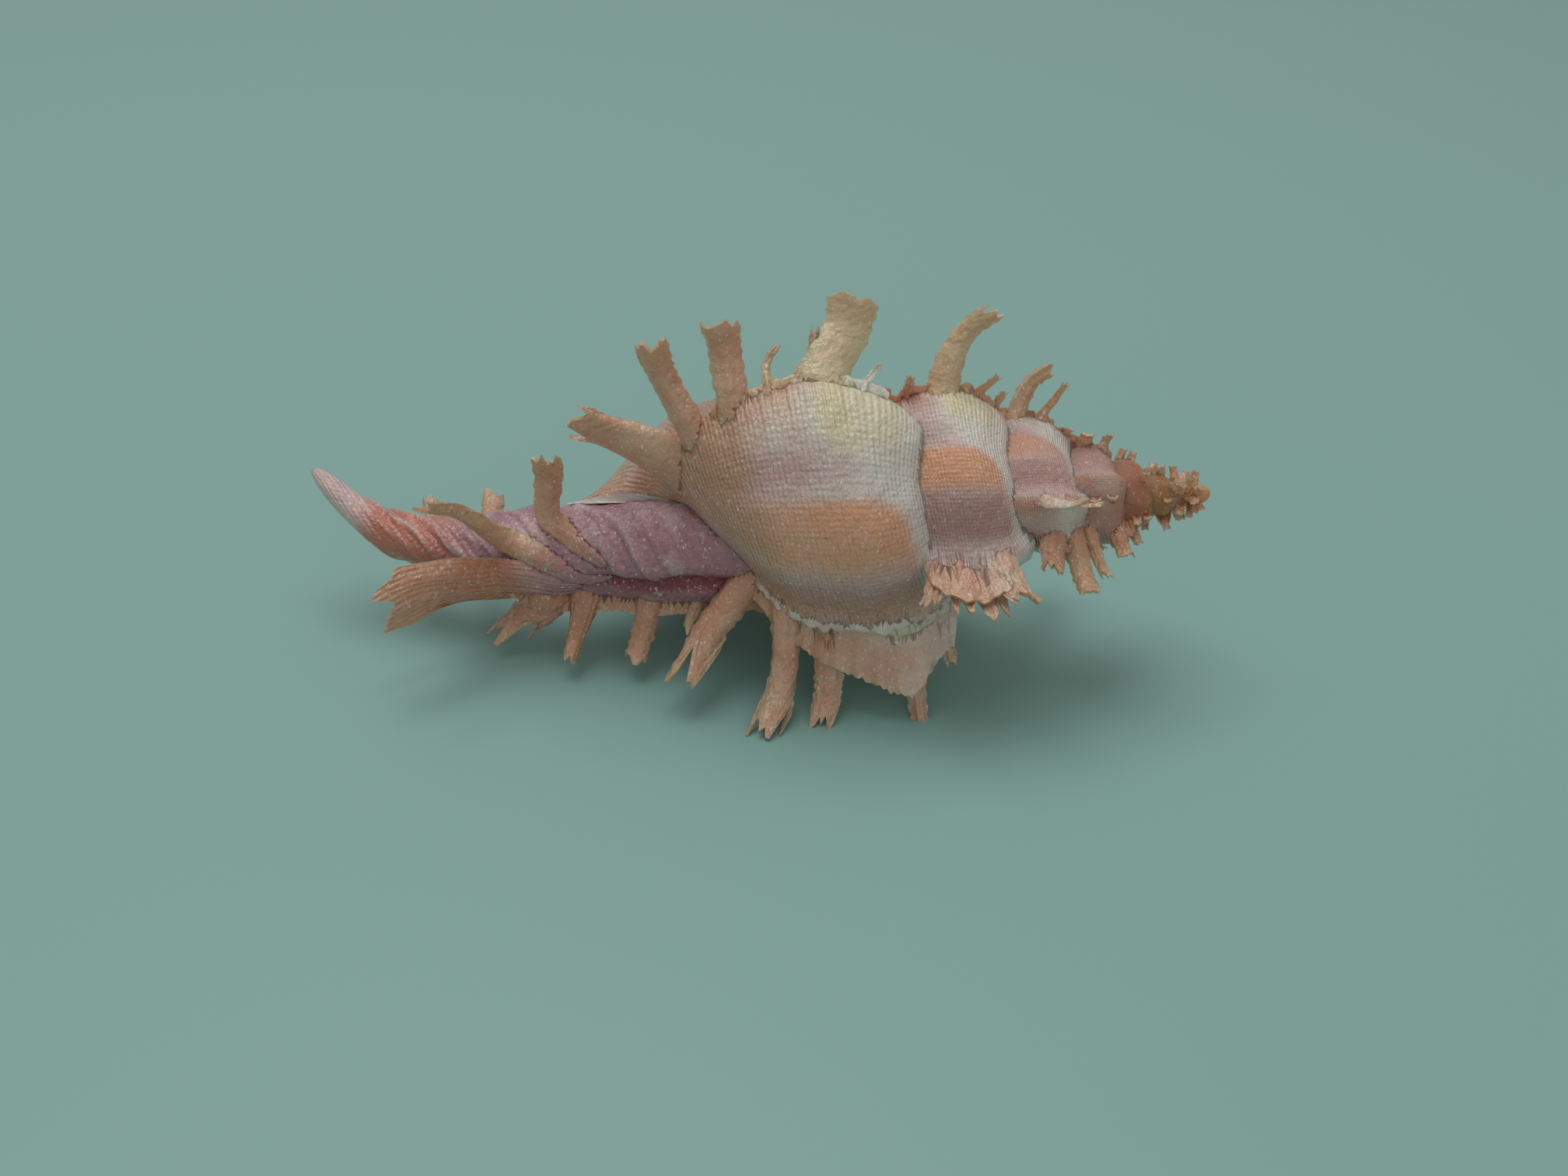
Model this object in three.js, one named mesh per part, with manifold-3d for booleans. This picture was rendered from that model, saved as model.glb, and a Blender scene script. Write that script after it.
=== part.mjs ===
// A murex shell lying on the fronds of two of its varices, with the operculum in its mouth.
// Millimetres, +Z up, apex towards +X, siphonal canal towards -X. The shell is right-handed.
//
// The coil is worked out in polar coordinates about its axis: t is the distance down the axis
// from the apex, rho the distance from the axis, and phi the angle about it. phi is 0 straight
// down, 90 towards -Y, 180 straight up and 270 towards +Y, and the shell grew with phi rising.
import * as THREE from "three";
import { mergeVertices } from "three/addons/utils/BufferGeometryUtils.js";
import Module from "manifold-3d";

const wasm = await Module();
wasm.setup();

// Driving dimensions, in millimetres and degrees.
const APEX = new THREE.Vector3(20.8, 0, 12);
const AXIS = new THREE.Vector3(-0.998, 0.012, -0.06).normalize();
const WHORL_RATIO = 1.47; // each whorl is this many times the one before
const WHORLS = 7;
const EARLY_SWELL = { share: 0.18, fade: 4 }; // the first whorls are fatter than the later ones' law
const LIP_PHI = 304; // where growth stopped, at the outer lip
const COIL_END = 32; // t where the coil closes on its axis, above the canal
const FLOOR = 1.9; // height of the surface the fronds stand on, before the shell is centred
const SEAT_GAP = 0.3; // between the operculum and the shell around it

// Outline of the last whorl in a half plane through the axis, at the size it has at the lip:
// [t, rho] from the suture, over the shoulder, to the root of the canal.
const WHORL_OUTLINE = [
  [17.4, 4.95], [18.2, 6.0], [19.4, 6.95], [20.8, 7.5], [22.4, 7.7], [24.0, 7.6],
  [25.6, 7.28], [27.0, 6.5], [28.4, 5.2], [29.6, 3.7], [30.8, 2.4], [COIL_END, 0.3],
];

// The varices: how far back from the lip each one stands, and their swelling, which rises slowly,
// is highest at its crest and drops at its leading edge. Height is a share of the radius.
const VARIX_TURNS = [0, 131, 258, 349, 467, 585, 679, 815, 905, 1020, 1130, 1240, 1350];
const VARIX = { height: 0.13, rise: 42, drop: 9 };

// How the rings of the coil are spread: they lie closer together towards the apex.
const COIL_MESH = { columns: 40, rows: 46, spread: 0.9 };
const APEX_TIP = { rho: 0.45, rise: 0.5, start: 0.02 }; // a blunt tip where the whorls run out

// The siphonal canal: a tube that leaves the coil, bends towards +Y and turns up at its tip.
const CANAL_ROUTE = [
  [1.5, 0.3, 9.2], [-4, 0.1, 8.1], [-8.2, 0, 7.7], [-13, 0.3, 7.4],
  [-17, 1.3, 6.8], [-21, 2.3, 7.0], [-24.9, 4.3, 9.1],
];
const CANAL_RADII = [3.0, 2.7, 2.4, 2.0, 1.75, 1.45, 0.7];
const CANAL_MESH = { steps: 16, sides: 12 };

// Fronds that stand on the coil: [t, phi, tip, width, end]. The root is on the coil at t and phi.
const COIL_FRONDS = [
  // Top varix, from the canal to the suture.
  [26.2, 170, [-10.5, -0.8, 15.8], 2.6, 2.0],
  [25.2, 170, [-6.5, -1.1, 20.2], 2.2, 1.5],
  [23.1, 171, [-3.1, -0.2, 20.6], 1.9, 1.9],
  [21.2, 172, [-0.4, 0.2, 19.5], 0.9, 0.4],
  [19.2, 173, [2.6, 1.1, 21.6], 3.4, 1.9],
  [16.6, 173, [4.2, 0, 18.6], 0.8, 0.3],
  // Near varix.
  [24.2, 40, [-4.7, -3.1, 4.6], 1.2, 1.0],
  [22.4, 44, [-5.0, -6.1, 3.6], 2.2, 1.6],
  [20.9, 44, [-1.0, -7.6, 1.6], 2.3, 1.6],
  [18.9, 44, [1.9, -6.8, 1.6], 2.1, 1.5],
  [14.9, 43, [7.0, -6.0, 1.6], 6.4, 1.8],
  // Far varix, at the lip.
  [27.2, 300, [-12.4, 6.5, 5.0], 1.4, 1.2],
  [26.4, 302, [-11.2, 8.4, 3.4], 2.4, 1.8],
  [24.8, 302, [-7.0, 9.4, 3.4], 2.4, 1.7],
  [22.6, 302, [-3.8, 10.0, 2.6], 2.4, 1.7],
  [20.2, 302, [0.2, 9.4, 1.6], 2.4, 1.7],
  [18.4, 302, [4.6, 9.0, 1.6], 3.4, 1.7],
  // Varices of the spire, from the last but one whorl up.
  [13.2, 193, [9.7, 1.8, 20.8], 2.6, 1.1],
  [9.6, 205, [12.7, 1.8, 17.8], 1.9, 0.9],
  [6.3, 200, [14.5, 0.4, 15.1], 1.1, 0.6],
  [13.4, 80, [6.6, -7.8, 9.6], 1.6, 1.0],
  [12.0, 80, [9.3, -7.4, 9.4], 2.4, 1.6],
  [10.6, 81, [11.3, -7.8, 10.2], 2.4, 1.6],
  [8.4, 117, [14.2, -4.8, 14.3], 1.7, 0.8],
  [8.0, 84, [13.0, -5.3, 9.5], 1.7, 0.9],
  [7.0, 76, [14.5, -6.0, 9.7], 1.6, 1.1],
  [4.8, 66, [16.5, -3.6, 9.9], 1.3, 0.8],
  [14.6, 312, [8.4, 8.2, 4.4], 2.6, 1.2],
  [10.4, 318, [14.7, 5.6, 5.4], 1.8, 1.0],
  [6.6, 344, [16.5, 1.4, 7.4], 1.2, 0.6],
];

// Fronds that stand on the canal: [share of the route, phi, tip, width, end].
const CANAL_FRONDS = [
  [0.45, 165, [-11.5, -1.6, 14.4], 1.3, 1.3],
  [0.52, 141, [-17.4, -3.3, 12.3], 2.0, 1.2],
  [0.28, 34, [-7.5, -3.4, 2.9], 2.2, 1.0],
  [0.40, 34, [-10.8, -3.4, 2.9], 1.7, 1.2],
  [0.46, 8, [-14.6, 0.3, 1.7], 1.9, 1.5],
  [0.60, 76, [-20.0, -4.4, 6.6], 3.4, 1.8],
  [0.60, 296, [-16.2, 7.5, 6.1], 1.5, 1.1],
  [0.73, 300, [-19.2, 5.8, 6.8], 1.3, 0.7],
];
const ROOT_SINK = 0.7; // how far a frond's root is sunk in the shell

// The section of a frond, an open gutter. bow is the bend of its route as a share of its length,
// taper says how fast it narrows, depth and inner are shares of its half width, and lip and keel
// are shares of its wall and depth.
const FROND = {
  shares: [0, 0.3, 0.65, 1], bow: 0.1, taper: 0.7, depth: 0.75, inner: 0.7,
  wall: 0.55, thinnest: 0.6, lip: 0.5, keel: 0.75, outside: [-75, -30, 30, 75],
};

// The mouth is an oval: its middle, how far it reaches along X and Y, the height of its floor, how
// far down its wall is straight, and how much it flares below. The operculum's shares are of its oval.
const MOUTH = { x: -2.1, y: 2.6, halfLength: 2.85, halfWidth: 2.3, floor: 6.9, wall: 1.6, flare: 1.25 };
const OPERCULUM = { thickness: 0.7, dish: 0.25, dished: 0.35, edge: 0.95, bevel: 0.2 };
const OVAL_SIDES = 24;
const TRIM_SIZE = 80; // the box that trims the feet, larger than the whole shell

const SHELL_COLOUR = 0xd9a58c;
const HORN_COLOUR = 0x5a2412;

// The axis frame: unit vectors at phi 0 and phi 90.
const DOWN = new THREE.Vector3(0, 0, -1).addScaledVector(AXIS, AXIS.z).normalize();
const NEAR = new THREE.Vector3().crossVectors(AXIS, DOWN);

const radians = THREE.MathUtils.degToRad;
const growth = (theta) => WHORL_RATIO ** (theta / 360);

function outwards(phi) {
  return DOWN.clone().multiplyScalar(Math.cos(radians(phi))).addScaledVector(NEAR, Math.sin(radians(phi)));
}

function onAxis(t) {
  return APEX.clone().addScaledVector(AXIS, t);
}

function polar(t, rho, phi) {
  return onAxis(t).addScaledVector(outwards(phi), rho);
}

// Radius of the outline at lip size, straight between its points.
function outlineRadius(t) {
  for (let i = 1; i < WHORL_OUTLINE.length; i++) {
    const [t0, r0] = WHORL_OUTLINE[i - 1];
    const [t1, r1] = WHORL_OUTLINE[i];
    if (t >= t0 && t <= t1) {
      return THREE.MathUtils.mapLinear(t, t0, t1, r0, r1);
    }
  }
  return 0;
}

// Swelling of the varices at a growth angle: theta is 0 at the lip and falls back in time.
function varixSwelling(theta) {
  let most = 0;
  for (const turn of VARIX_TURNS) {
    const past = theta + turn;
    const share = past < 0 ? -past / VARIX.rise : past / VARIX.drop;
    if (share < 1) {
      most = Math.max(most, (1 + Math.cos(Math.PI * share)) / 2);
    }
  }
  return most;
}

// Radius of the coil at t and phi: the outermost of the whorls that pass there.
function coilRadius(t, turned) {
  let rho = Math.min(APEX_TIP.rho, APEX_TIP.rise * Math.sqrt(t + APEX_TIP.start));
  for (let theta = turned; theta > -WHORLS * 360; theta -= 360) {
    const size = growth(theta);
    const swell = 1 + EARLY_SWELL.share * Math.exp(-t / EARLY_SWELL.fade);
    const reach = outlineRadius(t / size) * size * swell;
    rho = Math.max(rho, reach * (1 + VARIX.height * varixSwelling(theta)));
  }
  return rho;
}

// A closed mesh from rings of points, each ring the same length, capped at both ends.
function loft(rings) {
  const n = rings[0].length;
  const points = rings.flat();
  const faces = [];
  for (let i = 0; i + 1 < rings.length; i++) {
    for (let j = 0; j < n; j++) {
      const a = i * n + j;
      const b = i * n + ((j + 1) % n);
      faces.push(a, b, b + n, a, b + n, a + n);
    }
  }
  for (const [ring, flip] of [[0, true], [rings.length - 1, false]]) {
    const centre = points.length;
    points.push(rings[ring].reduce((sum, p) => sum.add(p), new THREE.Vector3()).divideScalar(n));
    for (let j = 0; j < n; j++) {
      const a = ring * n + j;
      const b = ring * n + ((j + 1) % n);
      faces.push(...(flip ? [centre, b, a] : [centre, a, b]));
    }
  }
  return solid(new THREE.BufferGeometry().setFromPoints(points).setIndex(faces));
}

// A manifold-3d solid from a closed three.js geometry, turned face out if it came out inside out.
function solid(geometry) {
  const plain = geometry.index ? geometry.clone() : geometry;
  plain.deleteAttribute("normal");
  plain.deleteAttribute("uv");
  const merged = mergeVertices(plain, 1e-4);
  const triVerts = new Uint32Array(merged.index.array);
  const whole = [];
  for (let i = 0; i < triVerts.length; i += 3) {
    const [a, b, c] = triVerts.subarray(i, i + 3);
    if (a !== b && b !== c && c !== a) whole.push(a, b, c);
  }
  const make = (index) => new wasm.Manifold(
    new wasm.Mesh({
      numProp: 3,
      vertProperties: merged.attributes.position.array,
      triVerts: new Uint32Array(index),
    }),
  );
  const made = make(whole);
  return made.volume() > 0 ? made : make(whole.reverse());
}

// The coil: rings of points about the axis from the apex to the root of the canal, with a wall
// at the lip where the last whorl stands proud of the one before.
function coil() {
  const { columns, rows, spread } = COIL_MESH;
  const rings = [];
  for (let i = 0; i <= rows; i++) {
    const t = COIL_END * (i / rows) ** spread;
    const ring = [];
    for (let j = 0; j <= columns; j++) {
      const turned = 360 * (j / columns - 1);
      ring.push(polar(t, coilRadius(t, turned), LIP_PHI + turned));
    }
    rings.push(ring);
  }
  return loft(rings);
}

// The siphonal canal: a tube that leaves the coil, bends towards +Y and turns up at its tip.
const canalRoute = new THREE.CatmullRomCurve3(CANAL_ROUTE.map((p) => new THREE.Vector3(...p)));

function canalRadius(share) {
  const at = share * (CANAL_RADII.length - 1);
  const k = Math.min(Math.floor(at), CANAL_RADII.length - 2);
  return THREE.MathUtils.lerp(CANAL_RADII[k], CANAL_RADII[k + 1], at - k);
}

function canal() {
  const { steps, sides } = CANAL_MESH;
  const rings = [];
  for (let i = 0; i <= steps; i++) {
    const radius = canalRadius(i / steps);
    const centre = canalRoute.getPoint(i / steps);
    const along = canalRoute.getTangent(i / steps);
    const side = new THREE.Vector3(0, 0, 1).cross(along).normalize();
    const up = along.clone().cross(side);
    const ring = [];
    for (let j = 0; j < sides; j++) {
      const a = (2 * Math.PI * j) / sides;
      const point = centre.clone().addScaledVector(side, radius * Math.cos(a));
      ring.push(point.addScaledVector(up, radius * Math.sin(a)));
    }
    rings.push(ring);
  }
  return loft(rings);
}

// One frond: a gutter that leaves the varix at root and bends over to tip. Its hollow side
// faces the way the shell grew. width and end are its breadth at the root and near the tip.
function frond({ root, tip, width, end, ahead }) {
  const to = new THREE.Vector3(...tip);
  const reach = to.clone().sub(root);
  const forwards = ahead.clone().addScaledVector(reach, -ahead.dot(reach) / reach.lengthSq()).normalize();
  const middle = root.clone().add(to).divideScalar(2).addScaledVector(forwards, reach.length() * FROND.bow);
  const route = new THREE.QuadraticBezierCurve3(root, middle, to);
  const rings = [];
  for (const share of FROND.shares) {
    const centre = route.getPoint(share);
    const along = route.getTangent(share);
    const across = new THREE.Vector3().crossVectors(along, forwards).normalize();
    const front = new THREE.Vector3().crossVectors(across, along);
    const half = THREE.MathUtils.lerp(width, end, share ** FROND.taper) / 2;
    const wall = Math.min(FROND.wall, half * FROND.thinnest);
    const depth = half * FROND.depth;
    const ring = FROND.outside.map((a) => [half * Math.sin(radians(a)), -depth * Math.cos(radians(a))]);
    ring.push([half * FROND.inner, wall * FROND.lip]);
    ring.push([0, wall - depth * FROND.keel]);
    ring.push([-half * FROND.inner, wall * FROND.lip]);
    rings.push(ring.map(([x, y]) => centre.clone().addScaledVector(across, x).addScaledVector(front, y)));
  }
  return loft(rings);
}

function growthDirection(phi) {
  return outwards(phi + 90);
}

function coilFrond([t, phi, tip, width, end]) {
  const turned = THREE.MathUtils.euclideanModulo(phi - LIP_PHI, 360) - 360;
  const root = polar(t, coilRadius(t, turned || 0) - ROOT_SINK, phi);
  return frond({ root, tip, width, end, ahead: growthDirection(phi) });
}

function canalFrond([share, phi, tip, width, end]) {
  const root = canalRoute.getPoint(share).addScaledVector(outwards(phi), canalRadius(share) - ROOT_SINK);
  return frond({ root, tip, width, end, ahead: growthDirection(phi) });
}

// A box below the floor, which trims the tips that stand on it to flat feet.
function belowFloor() {
  const box = new THREE.BoxGeometry(TRIM_SIZE, TRIM_SIZE, TRIM_SIZE);
  return solid(box.translate(0, 0, FLOOR - TRIM_SIZE / 2));
}

function oval(halfLength, halfWidth, z) {
  const ring = [];
  for (let i = 0; i < OVAL_SIDES; i++) {
    const a = (2 * Math.PI * i) / OVAL_SIDES;
    ring.push(new THREE.Vector3(MOUTH.x + halfLength * Math.cos(a), MOUTH.y + halfWidth * Math.sin(a), z));
  }
  return ring;
}

function mouthHollow() {
  const { halfLength, halfWidth, floor, wall, flare } = MOUTH;
  return loft([
    oval(halfLength * flare, halfWidth * flare, FLOOR),
    oval(halfLength, halfWidth, floor - wall),
    oval(halfLength, halfWidth, floor),
  ]);
}

// The operculum: a thin oval plate of horn, dished towards the outside, a seat gap clear of the shell.
function operculum() {
  const { thickness, dish, dished, edge, bevel } = OPERCULUM;
  const top = MOUTH.floor - SEAT_GAP;
  const bottom = top - thickness;
  const scaled = (share, z) =>
    oval((MOUTH.halfLength - SEAT_GAP) * share, (MOUTH.halfWidth - SEAT_GAP) * share, z);
  return loft([
    scaled(dished, bottom + dish),
    scaled(edge, bottom),
    scaled(1, bottom + bevel),
    scaled(1, top - bevel),
    scaled(edge, top),
  ]);
}

const fronds = [...COIL_FRONDS.map(coilFrond), ...CANAL_FRONDS.map(canalFrond)];
const shell = fronds
  .reduce((whole, one) => whole.add(one), coil().add(canal()))
  .subtract(belowFloor())
  .subtract(mouthHollow());

function meshOf(name, whole, colour, roughness) {
  const { vertProperties, triVerts } = whole.getMesh();
  const geometry = new THREE.BufferGeometry();
  geometry.setAttribute("position", new THREE.BufferAttribute(new Float32Array(vertProperties), 3));
  geometry.setIndex(new THREE.BufferAttribute(new Uint32Array(triVerts), 1));
  const mesh = new THREE.Mesh(geometry, new THREE.MeshStandardMaterial({ color: colour, roughness }));
  mesh.name = name;
  return mesh;
}

const murex = new THREE.Group();
murex.add(meshOf("shell", shell, SHELL_COLOUR, 0.4));
murex.add(meshOf("operculum", operculum(), HORN_COLOUR, 0.5));

// The origin is under the middle of the shell's box, on the surface it lies on.
const box = new THREE.Box3().setFromObject(murex);
const middle = box.getCenter(new THREE.Vector3());
murex.position.set(-middle.x, -middle.y, -box.min.z);

export default murex;
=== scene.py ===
"""A murex shell with the operculum in its mouth, lying on its fronds on a plain floor.

The shell's own sizes are in millimetres and degrees. A place on the coil is given by t, the
distance down the axis from the apex, rho, the distance from the axis, and phi, the angle about
the axis: 0 straight down, 90 towards -Y, 180 up and 270 towards +Y. theta is the growth angle,
0 at the lip and falling back in time, so that one whorl is 360 degrees.
"""
import logging
import math
from dataclasses import dataclass, field, replace
from enum import Enum

import bmesh
import bpy
import numpy as np
from mathutils import Matrix, Vector

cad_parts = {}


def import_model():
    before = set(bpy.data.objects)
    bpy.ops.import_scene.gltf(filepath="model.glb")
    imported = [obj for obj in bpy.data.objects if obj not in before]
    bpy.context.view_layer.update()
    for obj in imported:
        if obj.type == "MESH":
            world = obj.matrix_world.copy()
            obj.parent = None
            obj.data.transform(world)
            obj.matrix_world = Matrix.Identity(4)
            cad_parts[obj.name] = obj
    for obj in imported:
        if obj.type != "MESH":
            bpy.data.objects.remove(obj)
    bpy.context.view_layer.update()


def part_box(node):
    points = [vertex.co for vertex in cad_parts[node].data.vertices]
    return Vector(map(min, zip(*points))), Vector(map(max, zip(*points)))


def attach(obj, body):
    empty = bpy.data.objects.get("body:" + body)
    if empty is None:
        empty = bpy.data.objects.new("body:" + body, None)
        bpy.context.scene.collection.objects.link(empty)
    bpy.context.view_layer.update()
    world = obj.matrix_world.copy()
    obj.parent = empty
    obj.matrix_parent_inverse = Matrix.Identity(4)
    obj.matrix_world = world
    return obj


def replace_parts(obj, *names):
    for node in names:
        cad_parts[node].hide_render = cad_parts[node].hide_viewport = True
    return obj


MM = 0.001
# a full turn in radians, as the top of a random draw
ANY_PHASE = 6.28
LOG = logging.getLogger("murex")

Pair = tuple[float, float]
Point = tuple[float, float, float]
Colour = tuple[float, float, float]
Array = np.ndarray
Socket = bpy.types.NodeSocket
Object = bpy.types.Object
Traits = dict[str, Array]


def bell(x: Array, middle: float, width: float) -> Array:
    """A bump of height 1 at middle: exp(-((x - middle) / width)^2)."""
    return np.exp(-(((x - middle) / width) ** 2))


def ease(x: Array, low: float, high: float) -> Array:
    """A smooth step from 0 at low to 1 at high: 3s^2 - 2s^3."""
    s = np.clip((x - low) / (high - low), 0.0, 1.0)
    return s * s * (3.0 - 2.0 * s)


def unit(vectors: Array) -> Array:
    """The same directions with length 1."""
    return vectors / np.linalg.norm(vectors, axis=-1, keepdims=True)


def spline(points: Array, shares: Array) -> Array:
    """A smooth curve through points, as a Catmull-Rom spline.

    Args:
        points: the points that it passes through, one row each.
        shares: where to read it, from 0 at the first point to 1 at the last.

    Returns:
        One row for each share.
    """
    p = np.asarray(points, float)
    held = np.vstack([2 * p[0] - p[1], p, 2 * p[-1] - p[-2]])
    at = np.clip(shares, 0.0, 1.0) * (len(p) - 1)
    k = np.minimum(at.astype(int), len(p) - 2)
    u = (at - k)[:, None]
    a, b, c, d = held[k], held[k + 1], held[k + 2], held[k + 3]
    return 0.5 * (2 * b + (c - a) * u + (2 * a - 5 * b + 4 * c - d) * u**2 + (3 * b - a - 3 * c + d) * u**3)


@dataclass
class Skin:
    """A closed surface: points in millimetres, faces by their corners, and traits of its points."""

    points: Array
    faces: list[list[int]]
    traits: Traits = field(default_factory=dict)

    def volume(self) -> float:
        """Signed volume: a sixth of the sum of a . (b x c) over the fan of each face."""
        total = 0.0
        for corners in {len(face) for face in self.faces}:
            index = np.array([face for face in self.faces if len(face) == corners])
            a = self.points[index[:, 0]]
            for k in range(1, corners - 1):
                b, c = self.points[index[:, k]], self.points[index[:, k + 1]]
                total += float(np.einsum("ij,ij->", a, np.cross(b, c)))
        return total / 6.0

    def piece(self, name: str) -> Object:
        """The skin as a mesh object in metres, with its faces outwards."""
        faces = self.faces if self.volume() > 0 else [face[::-1] for face in self.faces]
        mesh = bpy.data.meshes.new(name)
        mesh.from_pydata((self.points * MM).tolist(), [], faces)
        for trait, values in self.traits.items():
            layer = mesh.attributes.new(trait, "FLOAT", "POINT")
            layer.data.foreach_set("value", np.asarray(values, np.float32))
        made = bpy.data.objects.new(name, mesh)
        bpy.context.scene.collection.objects.link(made)
        return made


def grid_faces(rows: int, columns: int) -> list[list[int]]:
    """Quads between closed rings of points that are numbered ring by ring."""
    i, j = np.meshgrid(np.arange(rows - 1), np.arange(columns), indexing="ij")
    a, b = i * columns + j, i * columns + (j + 1) % columns
    return np.stack([a, b, b + columns, a + columns], -1).reshape(-1, 4).tolist()


def in_line(traits: Traits) -> Traits:
    """Traits of a grid of points, with the points in one line."""
    return {name: value.reshape(-1) for name, value in traits.items()}


def stack_skin(rings: Array, traits: Traits) -> Skin:
    """A closed skin from rings stacked along a line, with one flat face at each end.

    Args:
        rings: points, as rings x points in a ring x 3.
        traits: values for each point, as rings x points in a ring.
    """
    count, around = rings.shape[:2]
    ends = [list(range(around))[::-1], list(range((count - 1) * around, count * around))]
    return Skin(rings.reshape(-1, 3), grid_faces(count, around) + ends, in_line(traits))


def tube_skin(rings: Array, traits: Traits) -> Skin:
    """A closed skin from rings whose first half runs there and second half runs back.

    Both ends are closed by a strip of quads between the two halves of the end ring.

    Args:
        rings: points, as rings x points in a ring x 3, with an even number in a ring.
        traits: values for each point, as rings x points in a ring.
    """
    count, around = rings.shape[:2]
    k = np.arange(around // 2 - 1)
    strip = np.stack([k, k + 1, around - 2 - k, around - 1 - k], -1)
    ends = strip[:, ::-1].tolist() + (strip + (count - 1) * around).tolist()
    return Skin(rings.reshape(-1, 3), grid_faces(count, around) + ends, in_line(traits))


TRAITS = (
    "cord", "turn", "blush", "cream", "mauve", "callus", "brown", "reach", "hollow", "along", "crease",
)


def filled(shape: tuple[int, ...], **values: Array | float) -> Traits:
    """Every trait of the shell's surface: the values that are given, and 0 for the rest."""
    return {name: np.zeros(shape) + values.get(name, 0.0) for name in TRAITS}


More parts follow.
